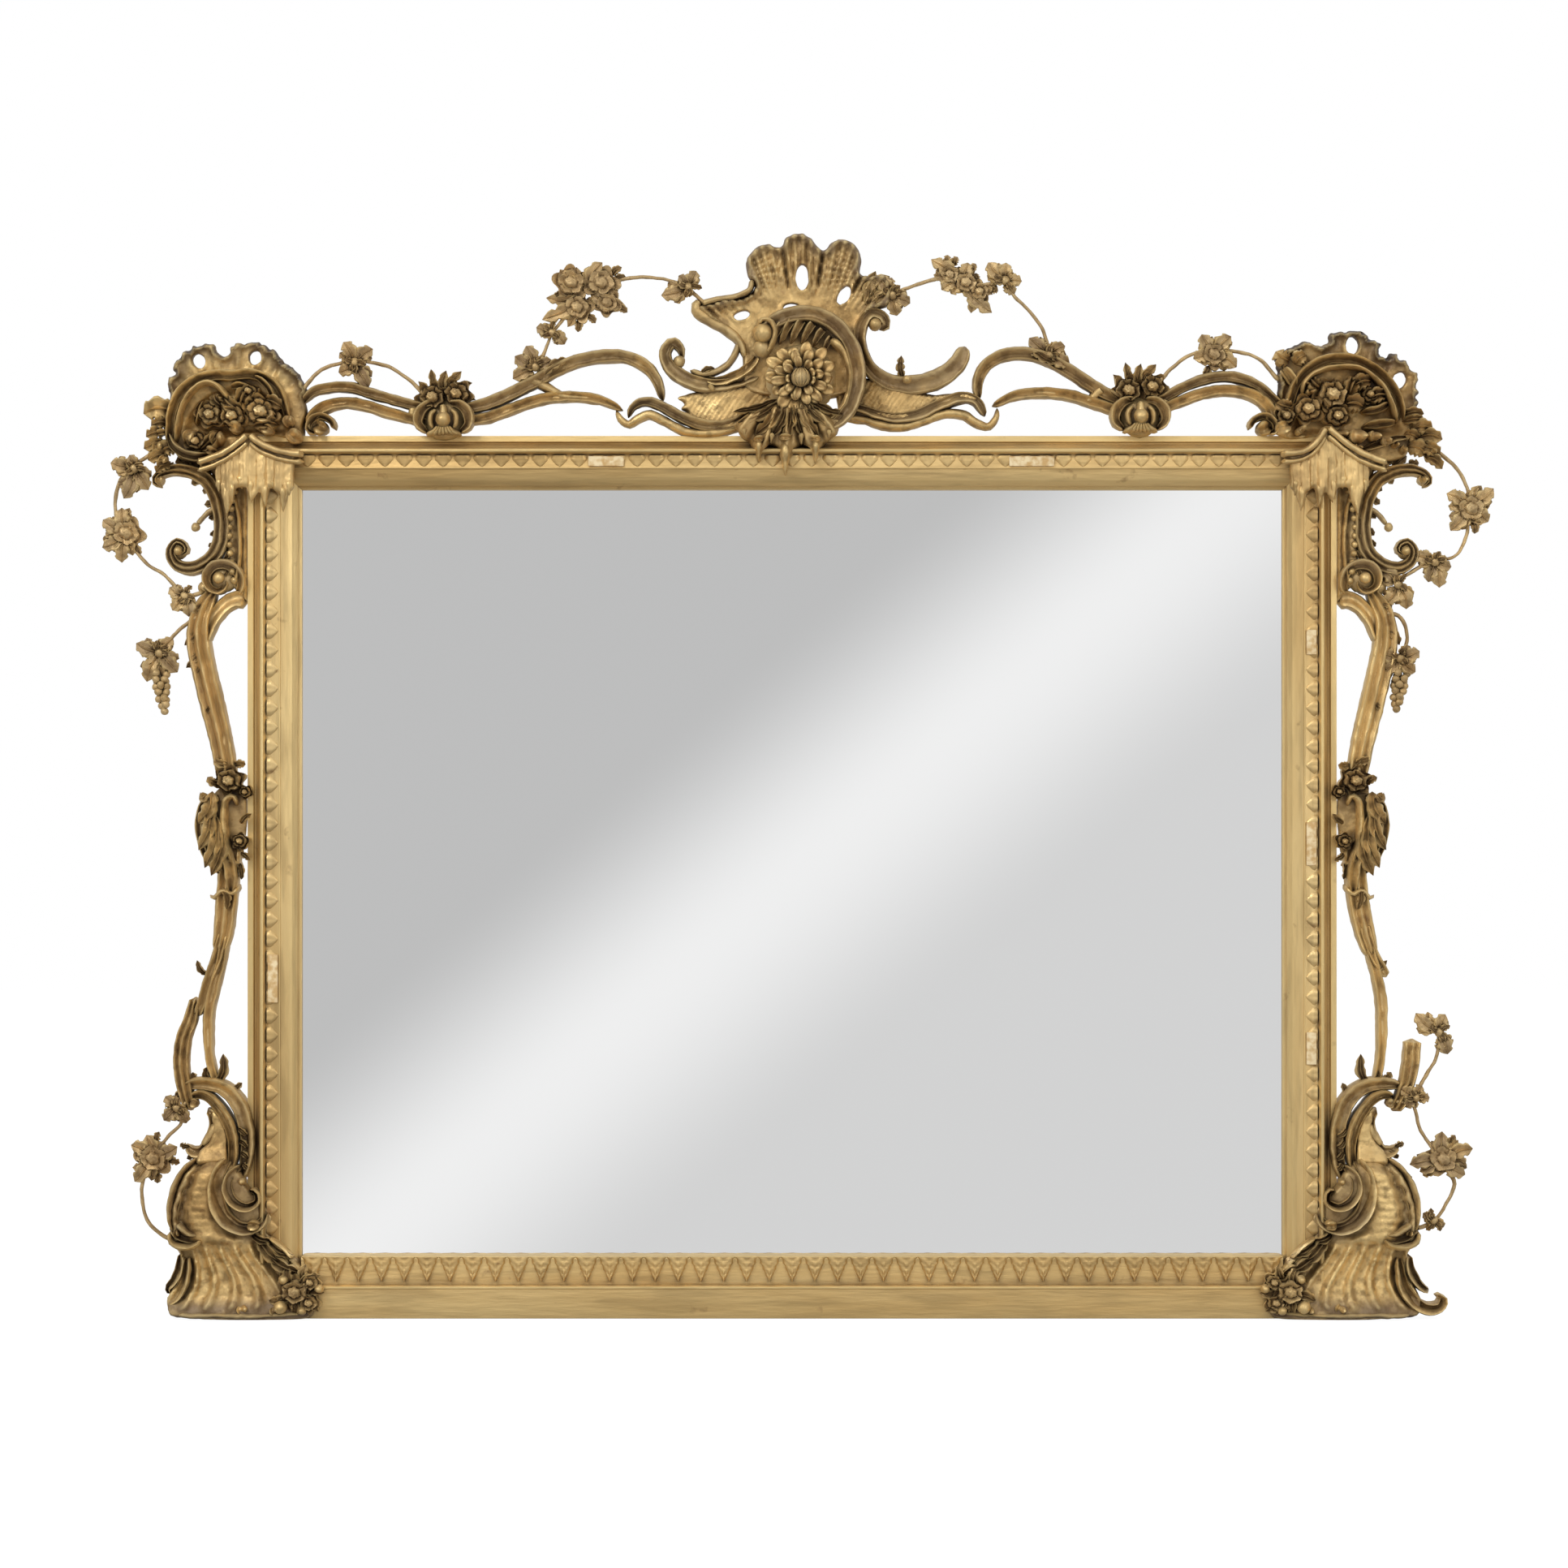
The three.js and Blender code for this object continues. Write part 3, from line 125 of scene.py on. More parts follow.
# The card is grey at both ends, with a white band that slants across it.
bpy.ops.mesh.primitive_plane_add(size=1, location=(0, 0, 0))
card = bpy.context.object
card.name = "reflected_card"
card.data.transform(
    Matrix.Translation((-0.01, -10.5, 0.7)) @ Matrix.Rotation(math.pi / 2, 4, "X") @ Matrix.Diagonal((7, 6, 1, 1))
)
glow, node, unused = new_material("card_glow")
glow.node_tree.nodes.remove(unused)
slant = node("VectorMath", {0: node("TexCoord").outputs["Object"], 1: (0.653, 0, -0.757)}, operation="DOT_PRODUCT")
across = node("MapRange", {"Value": slant.outputs["Value"], "From Min": -0.95, "From Max": 0.408})
sweep = ramp(
    glow.node_tree, across.outputs[0],
    [(0, tone(193, 193, 193)), (1, tone(214, 214, 214)), (0.5, tone(243, 243, 243))], "EASE",
)
shine = node("Emission", {"Color": sweep})
feed(glow.node_tree.nodes["Material Output"], {"Surface": shine.outputs[0]})
card.data.materials.append(glow)
card.visible_camera = card.visible_diffuse = card.visible_shadow = card.visible_transmission = False


def softbox(name, place, aim, side, energy):
    """A square area lamp that looks from its place to its aim."""
    bpy.ops.object.light_add(type="AREA", location=place)
    lamp = bpy.context.object
    lamp.name = name
    lamp.data.size = side
    lamp.data.energy = energy
    towards = Vector(aim) - Vector(place)
    lamp.rotation_euler = towards.to_track_quat("-Z", "Y").to_euler()


softbox("key_lamp", (-2.2, -3.0, 3.1), (0, 0, 0.7), 1.3, 62)
softbox("fill_lamp", (2.6, -3.4, 2.0), (0, 0, 0.6), 1.8, 26)

cameraAway, widthSeen, filmWidth = 6.0, 2.0286, 36
bpy.ops.object.camera_add(location=(-0.0105, -cameraAway, 0.689), rotation=(math.pi / 2, 0, 0))
camera = bpy.context.object
camera.name = "front_camera"
camera.data.sensor_width = filmWidth
camera.data.lens = filmWidth * cameraAway / widthSeen
scene.camera = camera

# ------------------------------------------------------------------ the moulded rails
# Four softwood rails with a run moulding in gesso: a fillet in red bole, a hollow, a
# reed, a bed for the leaf band, a broad burnished band and a sight edge, the hollow and the sight
# edge darkened by the painted shade of the gilding. The stiles and the top rail are mitred, and
# the bottom rail is a flat plinth between the stiles.

mm = 0.001
sideEdge, topEdge = 704, 1139        # the frame's, from its middle line and from the floor
halfOuter, frameTop = sideEdge * mm, topEdge * mm
sightHalf, sightTop, bottomHeight = 634 * mm, 1069 * mm, 79 * mm
backFace = 25 * mm
jointGap = 0.15 * mm
rebateLap, rebateFloor, pastBack = 12 * mm, 10 * mm, 30 * mm
bothSides = (("left", -1), ("right", 1))


def gilding(
    name, leafTone, shadeTone, dustTone, paintedShadeTone, dust=0.5, streak=(1, 1, 1), rough=0.36, paintedShadeReach=0.016,
    aged=0.25,
):
    """Gold leaf on gesso: warm and uneven in tone, with painted shade in the hollows, and rubbed on the ridges with a
    painted highlight.
    """
    material, node, shader = new_material(name)
    place = node("TexCoord").outputs["Object"]

    def between(value, low, high):
        return node("MapRange", {"Value": value, "From Min": low, "From Max": high}).outputs[0]

    def cloud(scale, low, high, detail=3, along=(1, 1, 1)):
        stretched = node("Mapping", {"Vector": place, "Scale": along}).outputs[0]
        spots = node("TexNoise", {"Vector": stretched, "Scale": scale, "Detail": detail})
        return between(spots.outputs["Fac"], low, high)

    def blend(share, first, second):
        return node("Mix", {"Factor": share, "A": first, "B": second}, data_type="RGBA").outputs["Result"]

    def maths(operation, first, second):
        return node("Math", {0: first, 1: second}, operation=operation).outputs[0]

    times = partial(maths, "MULTIPLY")
    leaf = blend(cloud(7, 0.36, 0.66, along=streak), leafTone, shadeTone)
    mottled = blend(times(cloud(60, 0.42, 0.72, detail=5, along=streak), 0.45), leaf, shadeTone)
    bole = blend(times(cloud(38, 0.66, 0.74, detail=6), 0.55), mottled, tone(128, 74, 44))
    surface = node("NewGeometry").outputs
    upward = between(node("SeparateXYZ", {0: surface["Normal"]}).outputs["Z"], 0.15, 0.75)
    settled = times(times(upward, cloud(24, 0.35, 0.58, detail=4)), dust)
    weather = node("Attribute", attribute_name="weather").outputs["Fac"]
    dusty = maths("MAXIMUM", settled, times(weather, cloud(18, 0.22, 0.50, detail=4)))
    patina = times(cloud(75, 0.48, 0.62, detail=5, along=streak), aged)
    greyed = blend(patina, blend(dusty, bole, dustTone), tone(104, 76, 42))
    # Painted shade: where ambient occlusion finds a hollow, the colour darkens towards the dark tone given for
    # hollows, and the metal is taken out.
    opened = between(node("AmbientOcclusion", {"Distance": paintedShadeReach}, samples=6).outputs["AO"], 0.14, 0.66)
    painted_shade = maths("SUBTRACT", 1, opened)
    # Worn gold and a painted highlight: the sharpest ridges are lightened to a pale gold.
    rubbed_and_highlit = times(between(surface["Pointiness"], 0.53, 0.60), 0.5)
    finished = blend(rubbed_and_highlit, blend(painted_shade, greyed, paintedShadeTone), tone(238, 212, 150))
    metal = node("MapRange", {"Value": maths("MAXIMUM", dusty, painted_shade), "To Min": 0.82, "To Max": 0.15})
    uneven = cloud(30, 0.3, 0.7, detail=4, along=streak)
    gloss = node("MapRange", {"Value": uneven, "To Min": rough, "To Max": rough + 0.22})
    brushed = cloud(160, 0.3, 0.7, detail=6, along=streak)
    grain = node("Bump", {"Height": brushed, "Strength": 0.35, "Distance": 0.0012})
    feed(shader, {
        "Base Color": finished, "Metallic": metal.outputs[0], "Roughness": gloss.outputs[0],
        "Normal": grain.outputs[0],
    })
    return material


# The fourth tone of each gilding is the dark tone of its painted shade in the hollows.
railGilding = {
    "side": gilding(
        "gilded_upright", tone(236, 206, 146), tone(200, 164, 106), tone(128, 106, 76),
        tone(74, 50, 26), dust=0.25, streak=(1, 1, 0.12),
    ),
    "flat": gilding(
        "gilded_length", tone(240, 208, 146), tone(204, 168, 108), tone(128, 106, 76),
        tone(74, 50, 26), dust=0.35, streak=(0.12, 1, 1),
    ),
}

# How far inwards from the outer edge and how high over the back, in millimetres.
stileSection = [
    (0, 0), (0, 29), (0.8, 30), (7.2, 30), (8, 29.2), (9, 27.6), (10.8, 27), (12.8, 28.4), (14.8, 32.6),
    (16.3, 38.6), (17.1, 44.6), (17.7, 47.6), (18.8, 49.4), (20.4, 50), (22.2, 49.3), (23.6, 47.4),
    (24.2, 44), (24.6, 40.3), (25.2, 39.6), (40.8, 39.6), (41.3, 41.2), (42.4, 41.8), (43.4, 41.2),
    (43.8, 39.8), (48, 39.3), (53, 37.8), (58, 35.4), (62, 32.4), (64.6, 29.4), (65, 25.6), (66.6, 23.8),
    (69.2, 22.6), (70, 20), (70, 0),
]
plinthSection = [
    (0, 0), (0, 48), (0.5, 48.8), (1.4, 49), (37.6, 49), (38.2, 49.8), (39.6, 50.3), (41, 50), (42, 48.8),
    (42.4, 46), (42.6, 37.4), (74, 37), (76, 36.6), (78, 35), (79, 32), (79, 0),
]


@contextmanager
def whole_mesh():
    """Opens the active piece for editing, with all of its mesh selected."""
    bpy.ops.object.mode_set(mode="EDIT")
    bpy.ops.mesh.select_all(action="SELECT")
    yield
    bpy.ops.object.mode_set(mode="OBJECT")


def facing_out():
    """Turns every face of the open mesh outwards."""
    bpy.ops.mesh.select_all(action="SELECT")
    bpy.ops.mesh.normals_make_consistent(inside=False)


def only(piece):
    """Makes one piece the active one, and the only one selected."""
    bpy.ops.object.select_all(action="DESELECT")
    piece.select_set(True)
    bpy.context.view_layer.objects.active = piece


def smooth(piece, degrees=40):
    """Shades a piece smooth but for its edges that are sharper than this."""
    only(piece)
    bpy.ops.object.shade_smooth_by_angle(angle=math.radians(degrees))


def moulding(section, place):
    """A closed bar with this section: place turns inwards and end, 0 or 1, into x and z."""
    bpy.ops.mesh.primitive_circle_add(vertices=len(section), radius=1, fill_type="NGON")
    bar = bpy.context.object
    with whole_mesh():
        bpy.ops.mesh.extrude_region_move(TRANSFORM_OT_translate={"value": (0, 0, 1)})
    for corner in bar.data.vertices:
        turn = math.atan2(corner.co.y, corner.co.x) % math.tau
        inwards, height = section[round(turn * len(section) / math.tau) % len(section)]
        x, z = place(inwards * mm, round(corner.co.z))
        corner.co = (x, backFace - height * mm, z)
    with whole_mesh():
        facing_out()
    smooth(bar, 32)
    return bar


def dress(piece, material):
    """Gives a piece this finish and no other."""
    piece.data.materials.clear()
    piece.data.materials.append(material)


def settle(piece, name, node, material):
    """Names a piece of the frame, gives it its finish, and puts it in its node's place."""
    piece.name = name
    piece.data.name = name
    dress(piece, material)
    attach(piece, "frame")
    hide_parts(node)


def settle_rail(rail, name, node, material):
    """Cuts the step behind a rail's sight edge, in which the glass and the boards lie."""
    bpy.ops.mesh.primitive_cube_add(size=1)
    cutter = bpy.context.object
    for corner in cutter.data.vertices:
        corner.co = (
            math.copysign(sightHalf + rebateLap, corner.co.x),
            pastBack if corner.co.y > 0 else rebateFloor,
            sightTop + rebateLap if corner.co.z > 0 else bottomHeight - rebateLap,
        )
    cut = rail.modifiers.new("rebate", "BOOLEAN")
    cut.operation = "DIFFERENCE"
    cut.object = cutter
    only(rail)
    bpy.ops.object.modifier_apply(modifier="rebate")
    bpy.data.objects.remove(cutter)
    settle(rail, name, node, material)


settle_rail(
    moulding(
        stileSection,
        lambda inwards, end: ((2 * end - 1) * (halfOuter - inwards - jointGap), frameTop - inwards),
    ),
    "moulded_top_rail", "top_rail", railGilding["flat"],
)
settle_rail(
    moulding(plinthSection, lambda inwards, end: ((2 * end - 1) * (sightHalf - jointGap), inwards)),
    "plinth_rail", "bottom_rail", railGilding["flat"],
)
for word, side in bothSides:
    settle_rail(
        moulding(
            stileSection,
            lambda inwards, end: (side * (halfOuter - inwards), end * (frameTop - inwards - jointGap)),
        ),
        f"moulded_stile_{word}", f"{word}_stile", railGilding["side"],
    )

# ------------------------------------------------------------------ the leaf bands
# Cast composition leaves, glued in a row on the bed of each rail: rounded tongues round the
# top and the sides, and larger pointed leaves with their tips down over the plinth. A few
# short stretches are lost and filled level in pale gesso.


def shaped_grid(columns, rows, shape):
    """A grid whose points go where shape sends them: across from -1 to 1, and along from 0 to 1."""
    bpy.ops.mesh.primitive_grid_add(x_subdivisions=columns, y_subdivisions=rows, size=2)
    sheet = bpy.context.object
    for corner in sheet.data.vertices:
        corner.co = shape(corner.co.x, (corner.co.y + 1) / 2)
    return sheet


# Ornament is modelled lying on a bench, x to the right, y up the picture and z to the viewer,
# and then stood up into the frame.
stood_up = Matrix.Rotation(math.pi / 2, 4, "X")


def leaf_row(name, node, material, cells, shape, first, turn, count, step):
    """A row of one leaf over and over, closed behind: where the first lies, and the way to the next."""
    band = shaped_grid(*cells, shape)
    with whole_mesh():
        bpy.ops.mesh.region_to_loop()
        bpy.ops.mesh.edge_face_add()
        facing_out()
    band.data.transform(Matrix.Translation(first) @ Matrix.Rotation(turn, 4, "Z"))
    row = band.modifiers.new("row", "ARRAY")
    row.use_relative_offset = False
    row.use_constant_offset = True
    row.constant_offset_displace = step
    row.count = count
    bpy.ops.object.modifier_apply(modifier="row")
    band.data.transform(stood_up)
    smooth(band)
    settle(band, name, node, material)


def tongue(width, length, across, along):
    """One rounded leaf: a bulge with a groove down its middle and a nick each side."""
    half = width / 2 * (1 - along ** 2.4) ** 0.6
    groove = 1.5 * math.exp(-((across / 0.17) ** 2)) * (1 - along)
    bulge = 4.6 * (1 - abs(across) ** 2.6) * (1 - 0.45 * along) - groove
    nick = 0.8 * math.cos(9 * along) * abs(across)
    return Vector((across * (half - nick), length * along, max(bulge, 0) - 0.2)) * mm


def pointed_leaf(across, along):
    """One large leaf of the bottom band: a raised midrib, slanting veins and a notched edge."""
    half = 14.5 * (1 - along) ** 0.85 * (1 + 0.07 * math.cos(26 * along))
    rib = 2.6 * math.exp(-((across / 0.14) ** 2))
    veins = 0.7 * math.cos(20 * (along + 0.35 * abs(across)))
    height = 3 + (3.4 + veins) * (1 - abs(across) ** 2.2) + rib * (1 - 0.5 * along)
    return Vector((across * half, -32 * along, height if abs(across) < 0.99 else 0)) * mm


bandRoot, bedFront = 26.2 * mm, (39.6 - 25) * mm
tongueLength, tongueGap, tongueCells = 14.5, 1.5, (9, 7)
topHalf, topCount = 663, 53
topStep = 2 * topHalf / topCount
leaf_row(
    "leaf_band_top", "top_leaf_band", railGilding["flat"], tongueCells,
    lambda across, along: tongue(topStep - tongueGap, tongueLength, across, along),
    (-topHalf * mm + topStep * mm / 2, frameTop - bandRoot, bedFront), math.pi, topCount, (topStep * mm, 0, 0),
)
sideFoot, sideHead, sideCount = 79, 1098, 41
sideStep = (sideHead - sideFoot) / sideCount
for word, side in bothSides:
    leaf_row(
        f"leaf_band_{word}", f"{word}_leaf_band", railGilding["side"], tongueCells,
        lambda across, along: tongue(sideStep - tongueGap, tongueLength, across, along),
        (side * (halfOuter - bandRoot), (sideFoot + sideStep / 2) * mm, bedFront), side * math.pi / 2,
        sideCount, (0, sideStep * mm, 0),
    )
bottomHalf, bottomCount = 633, 43
leafStep = 2 * bottomHalf / bottomCount
leaf_row(
    "leaf_band_bottom", "bottom_leaf_band", railGilding["flat"], (11, 12), pointed_leaf,
    (-bottomHalf * mm + leafStep * mm / 2, 78.5 * mm, 12.2 * mm), 0, bottomCount, (leafStep * mm, 0, 0),
)


def speckled(name, texture, pattern, stops, shading, bump=None, stretch=None):
    """A plain finish: a texture runs through a few tones, and furrows the surface or not."""
    material, node, shader = new_material(name)
    place = node("TexCoord").outputs["Object"]
    if stretch:
        place = node("Mapping", {"Vector": place, "Scale": stretch}).outputs[0]
    marks = node(texture, {"Vector": place, **pattern}).outputs["Fac"]
    feed(shader, {"Base Color": ramp(material.node_tree, marks, stops), **shading})
    if bump:
        feed(shader, {"Normal": node("Bump", {"Height": marks, **bump}).outputs[0]})
    return material


def eased_box(centre, size, edge):
    """A box with its edges rounded off."""
    bpy.ops.mesh.primitive_cube_add(size=1)
    box = bpy.context.object
    box.data.transform(Matrix.Translation(centre) @ Matrix.Diagonal((*size, 1)))
    with whole_mesh():
        bpy.ops.mesh.bevel(offset=edge, segments=2, affect="EDGES")
    return box


def joined(parts):
    """The parts made into one mesh."""
    only(parts[0])
    for part in parts:
        part.select_set(True)
    bpy.ops.object.join()
    return bpy.context.object


gesso = speckled(
    "bare_gesso", "TexNoise", {"Scale": 120, "Detail": 5},
    [(0.38, tone(196, 160, 104)), (0.62, tone(228, 208, 166))],
    {"Roughness": 0.7}, {"Distance": 0.0008},
)
# Middle across, middle up, width and height of each filled stretch, in millimetres.
fills = [
    (-240, 1105.5, 46, 13), (309, 1105.5, 58, 13), (670, 872, 13, 32), (670, 612, 13, 56),
    (670, 348, 13, 42), (-670, 438, 13, 62),
]
fillFront, fillDepth = -16.9 * mm, 5.4 * mm
repairs = joined([
    eased_box((x * mm, fillFront, z * mm), (width * mm, fillDepth, height * mm), 0.0012)
    for x, z, width, height in fills
])
repairs.name = "band_fills"
smooth(repairs)
dress(repairs, gesso)
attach(repairs, "frame")

# ------------------------------------------------------------------ the glass and the boards
# One flat plate of silvered glass in the rebate, and three sawn boards that close the back.

silvering = speckled(
    "silvered_glass", "TexNoise", {"Scale": 3}, [(0, (0.955, 0.957, 0.957, 1)), (1, (0.965, 0.967, 0.967, 1))],
    {"Metallic": 1, "Roughness": 0.015},
)
dress(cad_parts["mirror_plate"], silvering)

sawn = speckled(
    "sawn_softwood", "TexWave",
    {"Scale": 1.1, "Distortion": 26, "Detail": 7, "Detail Scale": 2.4, "Detail Roughness": 0.62},
    [(0, tone(140, 108, 74)), (1, tone(170, 136, 96))], {"Roughness": 0.8}, {"Strength": 0.4, "Distance": 0.001},
    (7, 7, 0.35),
)
for count in (1, 2, 3):
    low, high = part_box(f"back_board_{count}")
    board = eased_box((low + high) / 2, high - low, 0.0015)
    smooth(board)
    settle(board, f"sawn_board_{count}", f"back_board_{count}", sawn)

# ------------------------------------------------------------------ the hangers
# On the back of each stile a brass strap, held by two screws and rolled round the bar of a
# D-shaped ring of round wire.

brass = speckled(
    "dull_brass", "TexNoise", {"Scale": 150, "Detail": 5},
    [(0.35, tone(132, 104, 58)), (0.65, tone(206, 176, 104))],
    {"Metallic": 1, "Roughness": 0.38},
)
strapOutline = [(10, 3), (10, -50), (7, -59), (2.5, -62), (-2.5, -62), (-7, -59), (-10, -50), (-10, 3)]
ringCorners = [(-15, 0), (15, 0), (12.5, -18), (0, -27), (-12.5, -18)]
pivotY, pivotZ = 29.9 * mm, 969 * mm
strapHalf, strapBack, strapThick = 10, 25.05 * mm, 1.5 * mm
for word, side in bothSides:
    centre = side * 675 * mm
    bpy.ops.mesh.primitive_circle_add(vertices=len(strapOutline), fill_type="NGON")
    strap = bpy.context.object
    ordered = sorted(strap.data.vertices, key=lambda corner: math.atan2(corner.co.y, corner.co.x) % math.tau)
    for corner, (x, z) in zip(ordered, strapOutline):
        corner.co = (centre + x * mm, strapBack, pivotZ + z * mm)
    with whole_mesh():
        bpy.ops.mesh.extrude_region_move(TRANSFORM_OT_translate={"value": (0, strapThick, 0)})
        facing_out()
    bpy.ops.mesh.primitive_torus_add(
        major_segments=32, minor_segments=12, major_radius=2.62 * mm, minor_radius=0.8 * mm,
        location=(centre, pivotY, pivotZ), rotation=(0, math.pi / 2, 0),
    )
    roll = bpy.context.object
    bpy.ops.object.transform_apply(location=True, rotation=True, scale=True)
    for corner in roll.data.vertices:
        corner.co.x = centre + max(-1, min(1, (corner.co.x - centre) / (0.5 * mm))) * strapHalf * mm
    parts = [strap, roll]
    for drop in (20, 46):
        # A domed screw head, with its slot cut across it.
        bpy.ops.mesh.primitive_uv_sphere_add(segments=20, ring_count=10, radius=3.6 * mm)
        head = bpy.context.object
        head.data.transform(
            Matrix.Translation((centre, strapBack + 1.45 * mm, pivotZ - drop * mm)) @ Matrix.Diagonal((1, 0.45, 1, 1))
        )
        for corner in head.data.vertices:
            if abs(corner.co.z - pivotZ + drop * mm) < 0.5 * mm and corner.co.y > 27.4 * mm:
                corner.co.y -= 0.7 * mm
        parts.append(head)
    strap = joined(parts)
    smooth(strap)
    settle(strap, f"strap_{word}", f"hanger_strap_{word}", brass)

    bpy.ops.curve.primitive_bezier_circle_add(radius=1)
    wire = bpy.context.object
    wire.data.dimensions = "3D"
    wire.data.bevel_depth = 1.45 * mm
    wire.data.bevel_resolution = 4
    wire.data.resolution_u = 10
    bend = wire.data.splines[0]
    bend.bezier_points.add(1)
    for point, (x, z) in zip(bend.bezier_points, ringCorners):
        point.co = (centre + x * mm, pivotY, pivotZ + z * mm)
        point.handle_left_type = point.handle_right_type = "AUTO"
    # The bar through the roll is straight, and the wire turns down sharply at its two ends.
    for point, inner in zip(bend.bezier_points, (True, False)):
        point.handle_left_type = point.handle_right_type = "FREE"
        middle = Vector((centre, pivotY, pivotZ))
        down = Vector((point.co.x, pivotY, pivotZ - 7 * mm))
        point.handle_left, point.handle_right = (down, middle) if inner else (middle, down)
    bpy.ops.object.convert(target="MESH")
    smooth(wire)
    wire.name = f"ring_wire_{word}"
    dress(wire, brass)
    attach(wire, f"ring_{word}")
    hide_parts(f"hanger_ring_{word}")

# ------------------------------------------------------------------ the crest shell
# A pierced shell of carved and gilded wood over the middle of the top rail: three ribbed
# lobes with rolled rims over a smooth plate with four holes, and a leaf on its right shoulder.


def near_crest(points):
    """Places on the bench from places across and up from the middle of the frame's top edge."""
    return [(along, topEdge + up, *lift) for along, up, *lift in points]


def ease(share):
    """A share held between 0 and 1, with a soft start and a soft end."""
    share = max(0, min(1, share))
    return share * share * (3 - 2 * share)


def paced(sizes, share):
    """The size at a share of the way, where the sizes stand evenly spaced along it."""
    if len(sizes) == 1:
        return sizes[0]
    at = min(share, 0.9999) * (len(sizes) - 1)
    first = int(at)
    return sizes[first] + (sizes[first + 1] - sizes[first]) * ease(at - first)


def curved_rule(points, pitch):
    """Places about a pitch apart on a smooth line through the points, each with its heading."""
    places = [Vector((*point, 0)[:3]) for point in points]
    ends = [2 * places[0] - places[1], *places, 2 * places[-1] - places[-2]]
    dense = []
    for before, start, end, after in zip(ends, ends[1:], ends[2:], ends[3:]):
        knots = [0]
        for one, other in ((before, start), (start, end), (end, after)):
            knots.append(knots[-1] + max((other - one).length, 0.001) ** 0.5)
        for step in range(14):
            at = knots[1] + (knots[2] - knots[1]) * step / 14
            first = before.lerp(start, at / knots[1])
            second = start.lerp(end, (at - knots[1]) / (knots[2] - knots[1]))
            third = end.lerp(after, (at - knots[2]) / (knots[3] - knots[2]))
            low = first.lerp(second, at / knots[2])
            high = second.lerp(third, (at - knots[1]) / (knots[3] - knots[1]))
            dense.append(low.lerp(high, (at - knots[1]) / (knots[2] - knots[1])))
    dense.append(places[-1])
    run = [0]
    for one, other in zip(dense, dense[1:]):
        run.append(run[-1] + (other - one).length)
    count = max(4, round(run[-1] / pitch))
    line, at = [], 0
    for step in range(count + 1):
        wanted = run[-1] * step / count
        while at < len(run) - 2 and run[at + 1] < wanted:
            at += 1
        share = (wanted - run[at]) / max(run[at + 1] - run[at], 0.0001)
        heading = (dense[at + 1] - dense[at]).to_2d()
        line.append((dense[at].lerp(dense[at + 1], share), heading.normalized()))
    return line


def weathered(part, amount):
    """Marks how far the gold of a part is worn and greyed, from 0 to 1, for its finish."""
    mark = part.data.attributes.new("weather", "FLOAT", "POINT")
    for corner, value in zip(part.data.vertices, mark.data):
        value.value = amount(corner.co.x / mm, corner.co.y / mm) if callable(amount) else amount
    return part


# Faces of carved strips: how far across, from -1 to 1, and how high, from 0 to 1.
fluted = [
    (-1, 0), (-1, 0.62), (-0.93, 0.86), (-0.74, 1), (-0.5, 0.95), (-0.28, 0.84), (0, 0.79), (0.28, 0.84),
    (0.5, 0.95), (0.74, 1), (0.93, 0.86), (1, 0.62), (1, 0),
]
twinFluted = [
    (-1, 0), (-1, 0.64), (-0.93, 0.85), (-0.8, 0.92), (-0.68, 0.9), (-0.52, 0.8), (-0.36, 0.77),
    (-0.22, 0.86), (-0.1, 0.96), (0.02, 1), (0.14, 0.96), (0.26, 0.86), (0.4, 0.77), (0.55, 0.8),
    (0.7, 0.9), (0.8, 0.92), (0.92, 0.85), (1, 0.64), (1, 0),
]
rolled = [
    (-1, 0), (-1, 0.6), (-0.94, 0.76), (-0.82, 0.82), (-0.68, 0.78), (-0.5, 0.69), (-0.2, 0.67),
    (0.1, 0.77), (0.32, 0.9), (0.52, 0.98), (0.75, 1), (0.92, 0.9), (1, 0.64), (1, 0),
]
ridged = [(-1, 0), (-1, 0.5), (-0.85, 0.78), (-0.5, 0.95), (0, 1), (0.5, 0.95), (0.85, 0.78), (1, 0.5),
    (1, 0)]
veined = [
    (-1, 0), (-0.97, 0.62), (-0.78, 0.9), (-0.45, 0.6), (-0.15, 0.5), (0, 1), (0.15, 0.5), (0.45, 0.6),
    (0.78, 0.9), (0.97, 0.62), (1, 0),
]
spooned = [
    (-1, 0), (-0.98, 0.7), (-0.86, 0.95), (-0.6, 1), (-0.25, 0.84), (0, 0.78), (0.25, 0.84), (0.6, 1),
    (0.86, 0.95), (0.98, 0.7), (1, 0),
]
cupped = [(-1, 0), (-0.98, 0.8), (-0.84, 1), (-0.45, 0.5), (0, 0.3), (0.45, 0.5), (0.84, 1), (0.98, 0.8),
    (1, 0)]


def strip(
    route, face, widths, rises, low=-14, weather=0.5, turned=1, ends=(0.08, 0.08), notches=(0, 0), pitch=4.5,
):
    """A carved strip along a route, closed all round, with blunt ends and a notched edge or not."""
    line = curved_rule(route, pitch)
    rows = len(line) - 1

    def shape(across, along):
        spread, height = face[round((across + 1) / 2 * len(face)) % len(face)]
        row = round(along * rows)
        centre, heading = line[row]
        share = row / rows
        blunt = 1
        for end, way in zip(ends, (share, 1 - share)):
            if way < end:
                blunt *= math.sqrt(max(0.02, 1 - (1 - way / end) ** 2))
        half = paced(widths, share) / 2 * blunt
        lobe = abs(math.sin(notches[0] * math.pi * share)) ** 0.5 if notches[0] else 1
        half *= 1 - notches[1] * (1 - lobe) * abs(spread)
        x = centre.x - heading.y * spread * half * turned
        y = centre.y + heading.x * spread * half * turned
        return Vector((x, y, low + centre.z + height * paced(rises, share) * blunt ** 0.7)) * mm

    return weathered(shaped_grid(len(face), rows, shape), weather)


